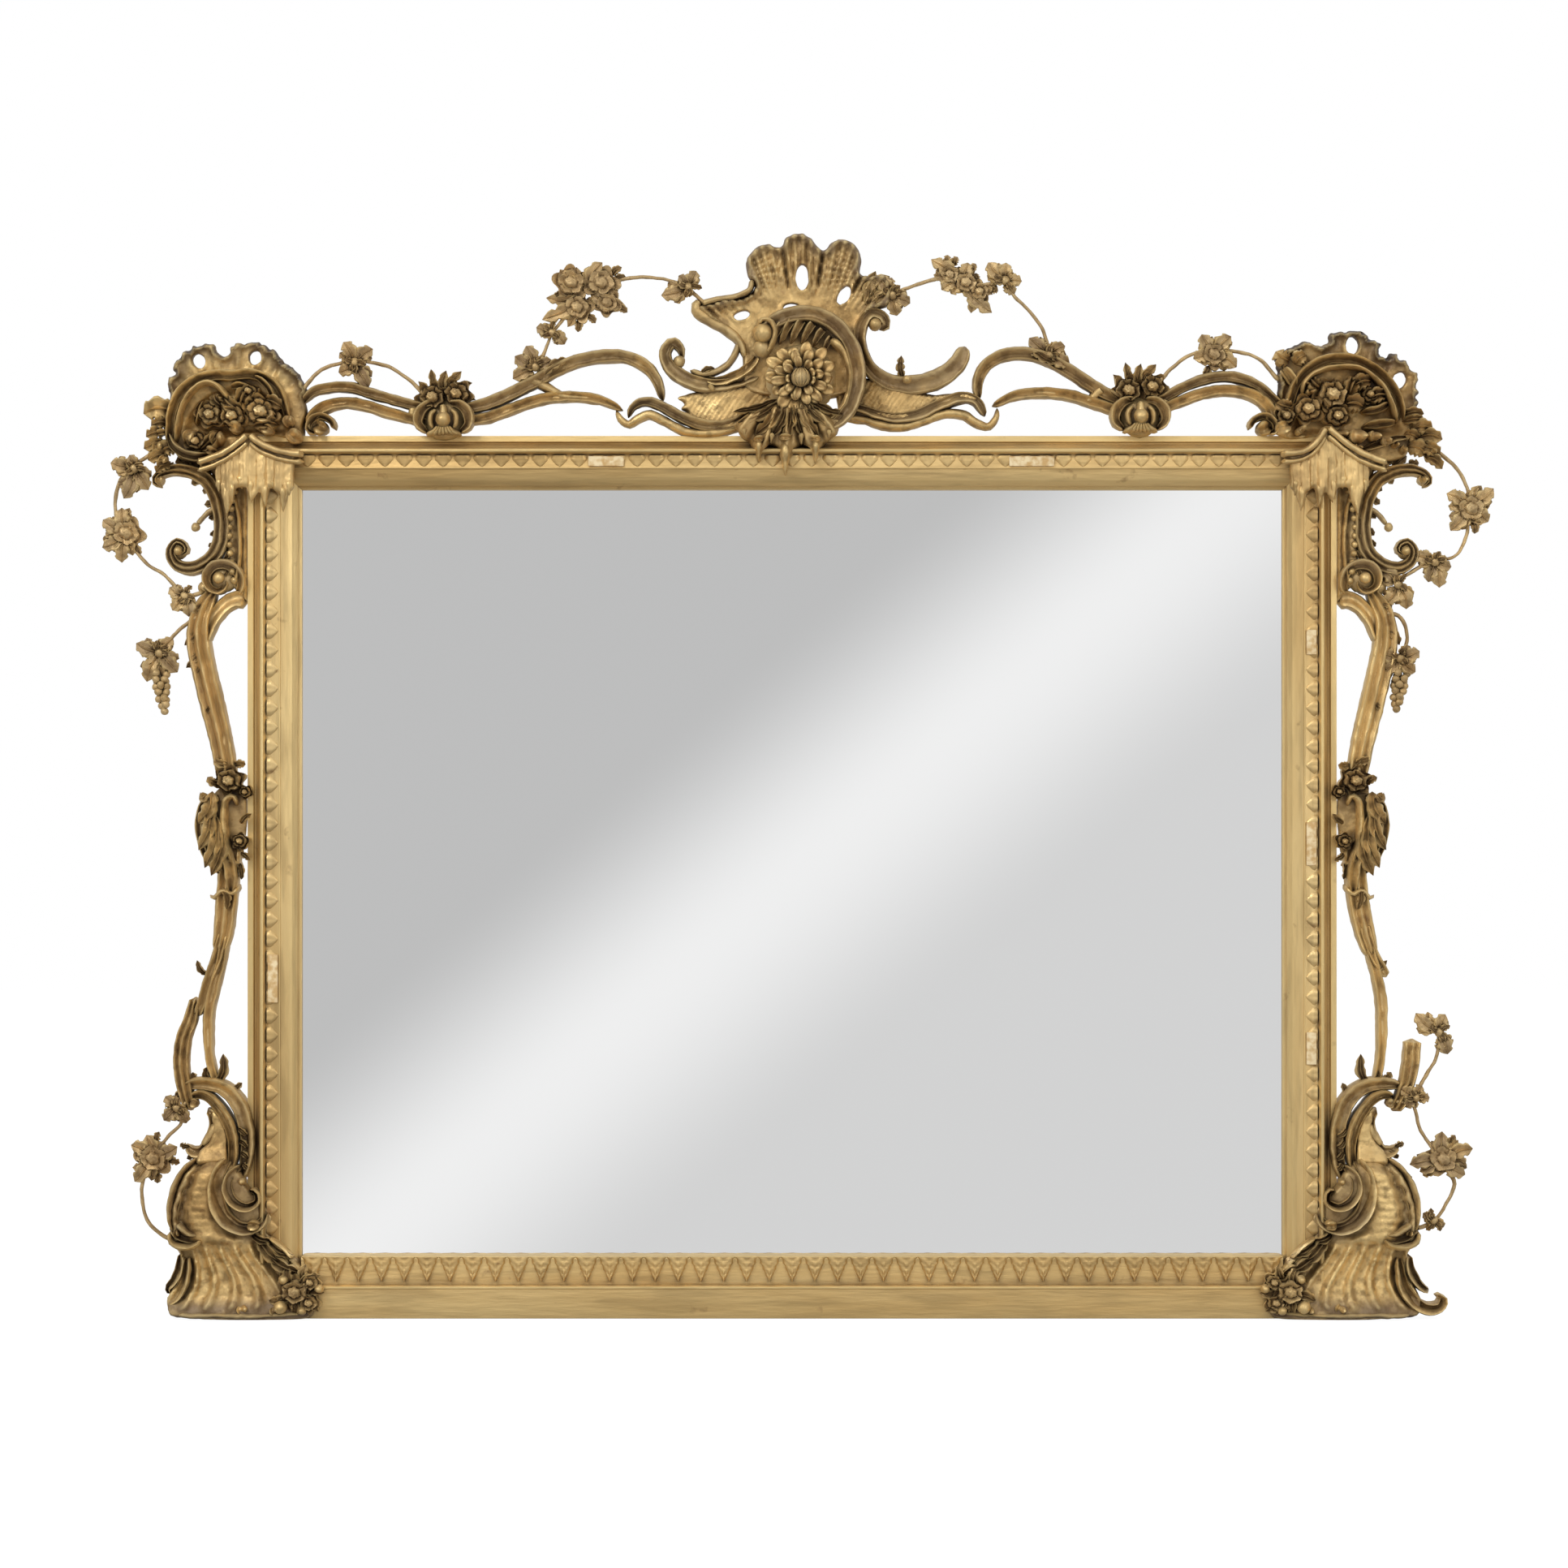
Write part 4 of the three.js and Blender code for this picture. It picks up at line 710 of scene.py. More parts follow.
def bead(centre, radius, low, high, weather=0.4):
    """A ball, squashed or drawn out to lie between two heights."""
    bpy.ops.mesh.primitive_uv_sphere_add(segments=14, ring_count=8, radius=1)
    ball = bpy.context.object
    ball.data.transform(
        Matrix.Translation(Vector((*centre, (low + high) / 2)) * mm)
        @ Matrix.Diagonal((radius * mm, radius * mm, (high - low) / 2 * mm, 1))
    )
    return weathered(ball, weather)


def oval(centre, across, high, lean=0, count=18):
    """The rim of an oval hole."""
    turn = Matrix.Rotation(lean, 2)
    rim = []
    for step in range(count):
        angle = math.tau * step / count
        point = Vector(centre) + turn @ Vector((across / 2 * math.cos(angle), high / 2 * math.sin(angle)))
        rim.append(tuple(point))
    return rim


def rounded_off(outline, pitch=4):
    """A closed outline as a smooth line through its points."""
    around = [*outline[-2:], *outline, *outline[:3]]
    line = [place for place, heading in curved_rule(around, pitch)]
    first = min(range(len(line) // 2), key=lambda i: (line[i].to_2d() - Vector(outline[0])).length)
    last = min(
        range(len(line) // 2, len(line)), key=lambda i: (line[i].to_2d() - Vector(outline[0])).length
    )
    return [tuple(place.to_2d()) for place in line[first:last]]


def carved_board(outline, holes, low, relief, weather=0.3, cell=2.2):
    """A board sawn to an outline with its holes, and carved: relief turns a place on it, with its
    distances from the rim and from the holes, into the height over the board's back."""
    bpy.ops.curve.primitive_bezier_circle_add(radius=1)
    board = bpy.context.object
    board.data.dimensions = "2D"
    board.data.fill_mode = "BOTH"
    board.data.extrude = 6 * mm
    board.data.splines.clear()
    for ring in (outline, *holes):
        edge = board.data.splines.new("POLY")
        edge.points.add(len(ring) - 1)
        edge.use_cyclic_u = True
        for point, (x, y) in zip(edge.points, ring):
            point.co = (x * mm, y * mm, 0, 1)
    bpy.ops.object.convert(target="MESH")
    with whole_mesh():
        bpy.ops.mesh.remove_doubles(threshold=0.00001)
    sawn_shape = board.modifiers.new("carving", "REMESH")
    sawn_shape.mode = "VOXEL"
    sawn_shape.voxel_size = cell * mm
    bpy.ops.object.modifier_apply(modifier="carving")
    rims = []
    for rings in ((outline,), holes):
        points = []
        for ring in rings:
            for one, other in zip(ring, [*ring[1:], ring[0]]):
                start, end = Vector((*one, 0)), Vector((*other, 0))
                steps = max(1, round((end - start).length / 1.5))
                points += [start.lerp(end, step / steps) for step in range(steps)]
        finder = KDTree(max(1, len(points)))
        for index, point in enumerate(points or [Vector((9999, 9999, 0))]):
            finder.insert(point, index)
        finder.balance()
        rims.append(finder)
    mark = board.data.attributes.new("weather", "FLOAT", "POINT")
    for corner, value in zip(board.data.vertices, mark.data):
        flat = Vector((corner.co.x / mm, corner.co.y / mm, 0))
        rim, opening = [finder.find(flat)[2] for finder in rims]
        share = max(0, min(1, corner.co.z / (12 * mm) + 0.5))
        corner.co.z = (low + share * relief(flat.x, flat.y, rim, opening)) * mm
        value.value = weather(flat.x, flat.y, rim) if callable(weather) else weather
    return board


def leaf(root, tip, width, low=2, rise=5, bend=0.1, lift=3, weather=0.5):
    """A pointed leaf with a midrib and a toothed edge, arched between its root and its tip."""
    root, tip = Vector(root[:2]), Vector(tip[:2])
    way = tip - root
    middle = (root + tip) / 2 + Vector((-way.y, way.x)) * bend
    return strip(
        [(*root, 0), (*middle, lift), (*tip, lift * 0.3)], veined,
        [0.4 * width, 0.95 * width, 1.05 * width, 0.9 * width, 0.4 * width],
        [0.7 * rise, rise, rise, 0.8 * rise, 0.5 * rise], low, weather,
        ends=(0.12, 0.24), notches=(3, 0.42), pitch=max(1.6, way.length / 12),
    )


def rose(centre, radius, low, high, petals=5, turn=0.0, weather=0.4):
    """A flower head in one lump: rings of petals that lap over each other towards the heart."""
    x, y = centre
    depth = high - low

    def head(across, along):
        angle = math.pi * across
        out = min(1, along / 0.9)
        wave = math.cos(petals * angle + 9 * turn)
        lap = 2.7 * out + 0.25 * wave * out
        ring = max(0, min(2, math.floor(lap)))
        lip = max(0, min(1, lap - ring))
        meet = math.exp(-((math.sin(petals * (angle + turn + 1.1 * ring) / 2) / 0.22) ** 2))
        height = 0.84 - 0.25 * ring + 0.2 * lip - 0.2 * meet * lip
        if ring == 0:
            height = 0.68 + 0.32 * (1 - lip * lip) ** 0.5 + 0.06 * lip * math.cos(2 * angle + 8 * lip)
        if along > 0.95:
            height = 0
        reach = radius * out * (0.9 + 0.15 * wave + 0.05 * math.cos(2 * angle + turn))
        return Vector((x + reach * math.cos(angle), y + reach * math.sin(angle), low + depth * height)) * mm

    return [weathered(shaped_grid(44, 19, head), weather)]


def bud(root, tip, width, low, high, weather=0.2):
    """A plump bud or curl end: thick in the middle, creased, and blunt at both ends."""
    return strip(
        [root, ((root[0] + tip[0]) / 2 + 0.1 * (tip[1] - root[1]), (root[1] + tip[1]) / 2), tip], rolled,
        [0.7 * width, width, 0.75 * width], [0.8 * (high - low), high - low, 0.8 * (high - low)], low,
        weather,
        ends=(0.3, 0.35), pitch=2,
    )


# The stray of the gouge is drawn from one seed, so that every run carves the same.
noise.seed_set(5)
outerBox = ((-891.6, 906.6), (0.3, 1400.6), (-33, 57.2))        # across, up and to the viewer


def assemble(name, node, parts, material):
    """Joins the parts of a piece, closes the ends of its strips and stands it up in the frame."""
    whole = joined(parts)
    with whole_mesh():
        bpy.ops.mesh.remove_doubles(threshold=0.00001)
        bpy.ops.mesh.fill_holes(sides=0)
        bpy.ops.mesh.normals_make_consistent(inside=False)
    # No cut of a gouge runs quite true, but nothing reaches past the frame's own box.
    for corner in whole.data.vertices:
        place = corner.co / mm
        place += noise.noise_vector(place / 11) * 0.9 + noise.noise_vector(place / 4.5) * 0.35
        corner.co = Vector([max(least, min(most, at)) for at, (least, most) in zip(place, outerBox)]) * mm
    whole.data.transform(stood_up)
    smooth(whole, 60)
    settle(whole, name, node, material)


carvedGilding = gilding(
    "carved_gilding", tone(242, 210, 146), tone(200, 164, 106), tone(126, 104, 74), tone(58, 38, 18),
    rough=0.4, paintedShadeReach=0.014, aged=0.5,
)

shellFocus = (14, topEdge + 60)


def crest_lobes(x, y):
    """How far into the ribbed lobes a place lies, and its angle about the shell's root."""
    out, up = x - shellFocus[0], y - shellFocus[1]
    return ease((math.hypot(out, up) - 112) / 40), math.degrees(math.atan2(out, up))


def crest_relief(x, y, rim, opening):
    """Ribbed lobes with a rolled rim above, and a smooth plate with raised lips round its holes."""
    lobe, angle = crest_lobes(x, y)
    ribs = 2.6 * math.cos(math.radians(angle * 112)) * lobe
    valleys = sum(math.exp(-((angle - at) / 1.5) ** 2) for at in (-8.5, 8.5, 27, -28)) * 6 * lobe
    roll = 6.5 * math.exp(-(((rim - 4.5) / 3.2) ** 2)) * (0.35 + 0.65 * lobe)
    lip = 2.5 * math.exp(-((opening / 3) ** 2))
    return 20 + 5 * lobe + ribs - valleys + roll + lip - 5 * math.exp(-((rim / 1.6) ** 2))


def crest_wear(x, y, rim):
    """The gold is most worn on the lobes and along their rim."""
    lobe, angle = crest_lobes(x, y)
    return 0.08 + 0.3 * lobe + (0.35 + 0.6 * lobe) * math.exp(-((rim / 9) ** 2))


shellOutline = [
    (-60, 60), (-64, 102), (-71, 123), (-87, 139), (-108, 150), (-122, 167), (-105, 171), (-88, 177),
    (-64, 178), (-48, 192), (-57, 207), (-59, 226), (-48, 242), (-33, 248), (-15, 244), (-8, 256),
    (6, 262), (21, 258), (34, 244), (42, 240), (52, 251), (67, 254), (82, 246), (89, 230), (88, 210),
    (101, 207), (118, 208), (128, 192), (125, 170), (99, 159), (83, 121), (84, 60),
]
shellHoles = [((13, 205), 17, 34, 0), ((67, 182), 15, 27, -0.5), ((-65, 156), 22, 12, 0.3),
    ((-1, 166), 22, 11, 0)]
parts = [carved_board(
    rounded_off(near_crest(shellOutline)),
    [oval(near_crest([at])[0], *size) for at, *size in shellHoles], -14, crest_relief, crest_wear,
)]
shoulder = [((96, 170), (126, 206), 26), ((100, 165), (108, 213), 18), ((98, 168), (131, 184), 18)]
for root, tip, width in shoulder:
    parts.append(leaf(*near_crest([root, tip]), width, low=4, rise=9, weather=0.5))
# The hooked arm on the left.
parts.append(strip(
    near_crest([(-60, 100), (-68, 122), (-86, 138), (-106, 150), (-124, 166), (-118, 176)]), ridged,
    [8, 12, 14, 14, 18, 12], [26, 28, 28, 26], -12, 0.55,
))
parts.append(strip(
    near_crest([(-118, 170), (-96, 176), (-72, 180), (-54, 190), (-52, 204)]), ridged, [10, 9, 8, 7],
    [30, 30, 30, 28], -12, 0.6,
))
assemble("shell_crest", "crest_shell", parts, carvedGilding)

# ------------------------------------------------------------------ the crest flower and its ring
# An open daisy with a domed, striped eye, set deep inside a crescent scroll that starts from a
# bulb on its left, rolls over its top and runs down its right. Carved apart and pegged on.

flowerCentre = (11, topEdge + 73)
parts = []
for ring, (count, reach, start, lift, width, turn) in enumerate((
    (14, 47, 22, 14, 16, 0.0), (12, 36, 16, 21, 13, 0.2), (9, 26, 12, 27, 11, 0.4),
)):
    for index in range(count):
        angle = turn + math.tau * (index + 0.12 * math.sin(5 * index)) / count
        reach += (-6, 6, 3, -3)[index % 4]
        lift += (3, -2, -1)[index % 3]
        way = Vector((math.cos(angle), math.sin(angle)))
        parts.append(strip(
            [
                (flowerCentre[0] + way.x * start, flowerCentre[1] + way.y * start, lift - 10),
                (flowerCentre[0] + way.x * (start + reach) / 2, flowerCentre[1] + way.y * (start + reach) / 2,
                lift - 4),
                (flowerCentre[0] + way.x * reach, flowerCentre[1] + way.y * reach, lift - 2),
            ],
            spooned, [0.5 * width, 0.9 * width, width, 0.95 * width], [8, 9, 9], 12, 0.12 + 0.12 * ring,
            ends=(0.1, 0.42), pitch=2,
        ))
parts.append(bead(flowerCentre, 27, 8, 32, 0.8))
parts.append(bead(flowerCentre, 47, -4, 14, 0.7))
parts.append(bead(flowerCentre, 13, 18, 54, 1.0))
for index in range(-2, 3):
    bow = [(0.9 * index * 5 * math.cos(step), 13 * math.sin(step)) for step in (-1.1, -0.5, 0, 0.5, 1.1)]
    parts.append(strip(
        [(flowerCentre[0] + x, flowerCentre[1] + y, 3 - 0.018 * (x * x + y * y) * 3) for x, y in bow],
        ridged, [1.6, 2.2, 1.6], [4], 48, 0.6, pitch=3,
    ))
assemble("daisy_crest", "crest_flower", parts, carvedGilding)

crescentRidge = [
    (-36, 118, 0), (-28, 142, 0), (-8, 153, 0), (18, 157, 0), (44, 150, 2), (66, 131, 4), (80, 105, 4),
    (85, 74, 4), (79, 44, 2), (64, 21, 0), (40, 6, 0),
]
parts = [
    strip(near_crest(crescentRidge), rolled, [16, 20, 20, 20, 20, 18, 12], [26, 30, 34, 34, 26], 6, 0.8),
    strip(
        near_crest([(48, 124), (61, 114), (71, 97), (75, 76), (73, 55), (66, 38), (54, 24), (36, 14)]),
            ridged,
        [13, 10, 9, 8, 7, 5], [34, 30, 28, 24, 18], 6, 0.12, ends=(0.1, 0.1),
    ),
    bead(near_crest([(-37, 131)])[0], 14, 0, 42, 0.1),
    bead(near_crest([(-38, 112)])[0], 12, 0, 34, 0.6),
    strip(near_crest([(-44, 140), (-38, 148), (-28, 146), (-22, 134), (-26, 118), (-34, 104)]), ridged,
          [7, 8, 8, 7], [34, 38, 36, 30], 2, 0.35),
]
for at, foot, width, weather in (
    (-24, (-38, 118), 9, 0.35), (-12, (-28, 116), 11, 0.5), (1, (-16, 118), 11, 0.4),
    (14, (-2, 119), 12, 0.55),
    (28, (12, 118), 11, 0.45), (41, (26, 114), 10, 0.6), (52, (40, 108), 9, 0.7),
):
    top = 150 - 0.012 * (at - 8) ** 2
    parts.append(strip(
        near_crest([(at, top), ((at + foot[0]) / 2 + 1, (top + foot[1]) / 2 + 4), foot]), rolled,
        [width, width, 0.8 * width, 0.4 * width], [23, 24, 19, 12], 6, weather, ends=(0.1, 0.35), pitch=2.6,
        turned=-1,
    ))
assemble("crescent_crest", "crest_crescent", parts, carvedGilding)

# ------------------------------------------------------------------ the crest scrolls and wings
# A curled scroll to each side of the flower, and under it a wing: a panel cut with fine
# hatching between two ridges, with a bright lip along its foot.

crestScrolls = {
    "left": [
        (-142, 98), (-145, 114), (-155, 121), (-164, 108), (-159, 90), (-142, 76), (-120, 67), (-96, 65),
        (-71, 69), (-40, 80),
    ],
    "right": [
        (224, 117), (216, 97), (201, 82), (180, 71), (151, 66), (122, 71), (99, 89), (88, 116), (90, 143),
        (102, 158), (117, 154), (121, 143), (113, 139),
    ],
}
crestWings = {
    "left": (
        [
            (-228, 34), (-221, 21), (-211, 15), (-200, 22), (-185, 28), (-164, 19), (-138, 6), (-100, 4),
            (-60, 12),
        ],
        [
            (-212, 24), (-206, 38), (-188, 45), (-166, 37), (-138, 22), (-106, 13), (-75, 17), (-43, 37),
        ],
        [
            (-140, 24), (-134, 30), (-144, 36), (-138, 42), (-149, 49), (-120, 58), (-90, 62), (-54, 66),
            (-30, 72), (-27, 22), (-48, 12),
            (-80, 8), (-111, 10),
        ],
    ),
    "right": (
        [
            (64, 24), (90, 22), (114, 15), (141, 12), (170, 20), (198, 29), (223, 27), (240, 16), (254, 13),
            (264, 24), (266, 37),
        ],
        [(66, 42), (83, 37), (109, 28), (135, 23), (164, 28), (193, 41), (219, 50), (238, 45), (250, 26)],
        [
            (64, 72), (104, 74), (141, 62), (183, 54), (225, 56), (240, 47), (214, 40), (172, 24),
            (130, 16), (64, 24),
        ],
    ),
}


def hatched(x, y, rim, opening):
    """Fine slanting cuts, as a carver's veiner leaves them."""
    cuts = 0.7 * math.cos(1.15 * (x * 0.8 + y)) + 0.5 * math.cos(0.9 * (x - 0.7 * y))
    return 19 + cuts - 4 * math.exp(-((rim / 2) ** 2)) + 4 * math.sin(x / 17)


for word, side in bothSides:
    route = near_crest(crestScrolls[word])
    if side < 0:
        parts = [
            strip(route, rolled, [8, 14, 17, 20, 20, 17, 15, 14], [22, 28, 32, 30, 28], -14, 0.75,
                  turned=-1),
            bead(near_crest([(-146, 96)])[0], 8, -12, 18, 0.5),
            strip(near_crest([(-132, 86), (-118, 80), (-98, 84), (-84, 92), (-74, 106), (-68, 124)]),
                  ridged, [7, 9, 9, 8], [24, 26, 26, 24], -14, 0.7),
            strip(near_crest([(-112, 74), (-96, 70), (-72, 78), (-52, 92), (-44, 104)]), rolled,
                  [10, 14, 14, 10], [24, 28, 30], -12, 0.3, turned=-1),
            leaf(*near_crest([(-118, 80), (-100, 88)]), 8, low=4, rise=7, weather=0.6),
        ]
        parts.append(strip(near_crest([(-108, 68), (-104, 62), (-99, 56)]), ridged, [6, 7, 6], [30, 32, 30],
            -8, 0.4))
    else:
        parts = [
            strip(route, rolled, [20, 24, 26, 25, 22, 19, 17, 17, 15, 12], [22, 26, 30, 32, 34, 32, 26],
                  -14, 0.72, turned=-1, ends=(0.05, 0.05)),
            bead(near_crest([(107, 144)])[0], 9, -10, 22, 0.15),
            leaf(*near_crest([(143, 74), (141, 103)]), 12, low=8, rise=9, weather=0.6),
            bead(near_crest([(148, 72)])[0], 6, 6, 24, 0.2),
        ]
    assemble(f"scroll_crest_{word}", f"crest_scroll_{word}", parts, carvedGilding)
    edge, ridge, panel = crestWings[word]
    parts = [
        carved_board(rounded_off(near_crest(panel)), [], -14, hatched, 0.02, cell=2),
        strip(near_crest(ridge), rolled, [8, 13, 15, 15, 12], [24, 30, 32, 30, 26], -14, 0.78, turned=-side),
        strip(near_crest(edge), ridged, [8, 12, 12, 12, 8], [22, 26, 27, 26, 22], -14, 0.1),
    ]
    assemble(f"wing_crest_{word}", f"crest_wing_{word}", parts, carvedGilding)

# ------------------------------------------------------------------ the crest drops
# A fringe of leafy folds under the flower, ending in three icicles that hang over the rail.

dropOutline = [
    (-76, 14), (-66, -2), (-55, -10), (-48, -22), (-43, -36), (-38, -20), (-30, -12), (-20, -16),
    (-14, -34), (-9, -52), (-4, -34), (4, -18), (14, -12), (24, -18), (30, -38), (36, -18), (46, -8),
    (58, 2), (64, 20), (30, 36), (-20, 38), (-54, 30),
]


def fringe(x, y, rim, opening):
    """Folds that fan out from under the flower and deepen downwards."""
    angle = math.degrees(math.atan2(x + 6, topEdge + 92 - y))
    folds = 5.5 * math.cos(math.radians(angle * 22)) + 2 * math.cos(math.radians(angle * 51 + 40))
    return 26 + folds * ease((topEdge + 60 - y) / 50) + 5 * ease((y - topEdge) / 30) - 7 * math.exp(-((rim / 3) ** 2))


parts = [carved_board(near_crest(dropOutline), [], 2, fringe, lambda x, y, rim: 0.3, cell=1.8)]
for root, tip, width, weather in (
    ((-43, -4), (-43, -37), 11, 0.1), ((-9, -6), (-9, -53), 14, 0.12), ((30, -4), (30, -38), 11, 0.15),
    ((-26, 4), (-27, -13), 8, 0.5), ((12, 4), (12, -14), 8, 0.5), ((48, 8), (47, -6), 8, 0.5),
    ((-62, 10), (-60, -3), 8, 0.45),
):
    parts.append(strip(
        near_crest([root, ((root[0] + tip[0]) / 2, (root[1] + tip[1]) / 2), tip]), ridged,
        [0.8 * width, width, 0.6 * width, 0.16 * width], [34, 37, 32, 26], 3, weather, ends=(0.25, 0.2),
        pitch=3,
    ))
for root, tip, width, weather in (
    ((-14, 40), (-48, 0), 19, 0.2), ((-6, 42), (-26, -2), 15, 0.4), ((-2, 42), (-9, -6), 17, 0.12),
    ((6, 42), (14, -2), 14, 0.45), ((10, 42), (34, -2), 18, 0.25), ((14, 44), (54, 10), 14, 0.5),
    ((-16, 42), (-70, 16), 15, 0.35), ((-20, 46), (-76, 30), 11, 0.3), ((22, 46), (68, 26), 12, 0.4),
):
    parts.append(leaf(*near_crest([root, tip]), width, low=20, rise=14, lift=6,
        bend=0.08 if tip[0] < 0 else -0.08,
                      weather=weather))
for x, y, width in ((-43, -6, 12), (-9, -4, 15), (30, -6, 12)):
    parts.append(bud(*near_crest([(x - 0.6 * width, y), (x + 0.6 * width, y + 1)]), 9, 24, 43, 0.05))
assemble("drops_crest", "crest_drops", parts, carvedGilding)

# ------------------------------------------------------------------ the scroll arches
# Open scrolls along the top rail, on each side of the crest: a greyed upper bar and a bright
# lower bar, tied by a flower clasp over a small bell, with a rolled foot beside the corner.


archFoot = 626        # from the middle line


def along_top(side):
    """Turns hundredths of the way from an arch's foot to the crest, and up, into places on the bench."""
    reach = 153 if side < 0 else 240
    return lambda points: [
        (side * (archFoot + (reach - archFoot) * share / 100), topEdge + up, *lift) for share, up,
        *lift in points
    ]


arches = {
    "left": {
        "clasp": (37.3, 49), "bell": (37.3, 4),
        "innerUpper": [
            (40, 32), (48.9, 42), (56, 56), (62.2, 71), (68.4, 87), (73.8, 97), (80.4, 103), (87.1, 102),
            (92.4, 90), (95.6, 70), (97, 46),
        ],
        "innerLower": [(40, 18), (48.9, 24), (56.7, 37), (63.3, 47), (71.1, 51), (79.6, 47), (86, 34)],
        "tie": [(58, 80), (64, 66), (70, 52), (78, 49)],
        "outerUpper": [
            (-2, 42), (1.3, 57), (6.2, 63), (11.6, 63), (17.3, 55), (23.3, 47), (28.9, 40), (35, 33),
        ],
        "outerLower": [(3, 6), (1.4, 21), (4.2, 36), (10.2, 43), (16, 39), (22.7, 29), (28.4, 22), (35, 13)],
    },
    "right": {
        "clasp": (45.8, 58), "bell": (45.8, 8),
        "innerUpper": [
            (49, 41), (57.8, 56), (64.6, 72), (71.4, 89), (78.2, 102), (85.6, 107), (93.2, 102),
            (98.1, 87), (100, 68), (99.7, 46),
        ],
        "innerLower": [(49, 27), (60.5, 42), (68.7, 52), (78.2, 56), (87.7, 52), (95, 39)],
        "tie": [(58, 62), (61, 52), (64, 42)],
        "outerUpper": [
            (-3, 34), (1.6, 51), (7.4, 68), (15.5, 77), (23.7, 74), (31.1, 63), (37.3, 50), (43, 40),
        ],
        "outerLower": [
            (2, 6), (2.2, 33), (7, 51), (15.5, 59), (23.7, 56), (31.9, 45), (38.1, 35), (43, 26),
        ],
    },
}
for word, side in bothSides:
    place = along_top(side)
    arch = arches[word]
    parts = [
        strip(place(arch["innerUpper"]), rolled, [14, 17, 17, 17, 17, 16, 12], [26, 30, 30, 28], -14, 0.62,
              turned=-side),
        strip(place(arch["innerLower"]), fluted, [13, 15, 15, 14, 10], [24, 27, 26], -14, 0.1, turned=-side),
        strip(place(arch["tie"]), ridged, [15, 13, 11, 8], [24, 24, 22], -14, 0.3),
    ]
    x, y = place([arch["innerUpper"][4]])[0]
    parts.append(leaf((x + side * 18, y - 8), (x - side * 14, y + 12), 13, low=6, rise=9, weather=0.55))
    assemble(f"arch_inner_{word}", f"arch_inner_{word}", parts, carvedGilding)
    parts = [
        strip(place(arch["outerUpper"]), rolled, [10, 13, 14, 14, 13, 12], [24, 27, 26], -14, 0.6,
            turned=-side),
        strip(place(arch["outerLower"]), fluted, [24, 17, 15, 15, 15, 14, 12], [30, 28, 27, 26], -14, 0.08,
              turned=-side),
        strip(place([arch["outerUpper"][6], arch["outerLower"][6]]), ridged, [13], [24], -14, 0.3),
        bud(*[(side * (archFoot - x), topEdge + y) for x, y in ((26, 6), (6, 14))], 20, -13, 24, 0.2),
        strip(
            [(side * (archFoot - x), topEdge + y) for x, y in ((36, 8), (30, 20), (16, 25), (4, 18), (2, 6),
            (12, 3))],
            rolled, [7, 9, 10, 9, 6], [34, 38, 36, 30], -12, 0.3, turned=side,
        ),
    ]
    assemble(f"arch_outer_{word}", f"arch_outer_{word}", parts, carvedGilding)
    x, y = place([arch["clasp"]])[0]
    parts = rose((x - 15, y), 22, -8, 33, petals=7, turn=0.3, weather=0.45)
    parts += rose((x + 16, y + 5), 21, -8, 31, petals=6, turn=0.8, weather=0.35)
    for dx, dy, width in (
        (-34, 22, 13), (-18, 38, 12), (2, 36, 13), (22, 35, 14), (36, 20, 12), (40, -2, 11), (-39, 0, 12),
        (-26, -16, 11), (30, -12, 11),
    ):
        parts.append(leaf((x, y), (x + dx, y + dy), width, low=-4, rise=9, lift=6, weather=0.4))
    x, y = place([arch["bell"]])[0]
    parts.append(bead((x, y + 16), 27, -12, 20, 0.5))
    for turn in (-1, 1):
        parts.append(strip(
            [(x + turn * dx, y + dy) for dx, dy in ((5, 38), (20, 36), (31, 25), (32, 10), (20, -1))],
            rolled, [8, 13, 15, 12, 6], [24, 32, 34, 28], -4, 0.45, turned=turn,
        ))
        parts.append(strip(
            [(x + turn * dx, y + dy) for dx, dy in ((7, 30), (15, 24), (16, 12), (11, 2))],
            ridged, [5, 8, 8, 4], [24, 28, 24], 2, 0.2,
        ))
    parts.append(strip([(x, y + 38), (x, y + 20), (x, y + 2)], ridged, [9, 12, 16], [28, 34, 30], 2, 0.25))
    parts.append(bead((x, y + 16), 10, 10, 43, 0.02))
    for index in range(-3, 4):
        parts.append(strip(
            [(x + 2 * index, y + 8), (x + 4.5 * index, y), (x + 7.5 * index, y - 5 + 0.5 * abs(index))],
            ridged, [4, 6.5, 7], [30, 30, 26], 4, 0.3, ends=(0.1, 0.3), pitch=2.5,
        ))
    assemble(f"clasp_arch_{word}", f"arch_clasp_{word}", parts, carvedGilding)

# ------------------------------------------------------------------ the corner canopies
# Over each mitre hangs a cloth-like canopy: two hollow eaves that meet in a peak, with a double
# moulding along them, and folds below that end in pointed drips over the stile.


def beside(side, level, unit=1):
    """Turns places out from the frame's side edge, and up from a level, into places on the bench."""
    return lambda points: [(side * (sideEdge + out), level + unit * up, *lift) for out, up, *lift in points]


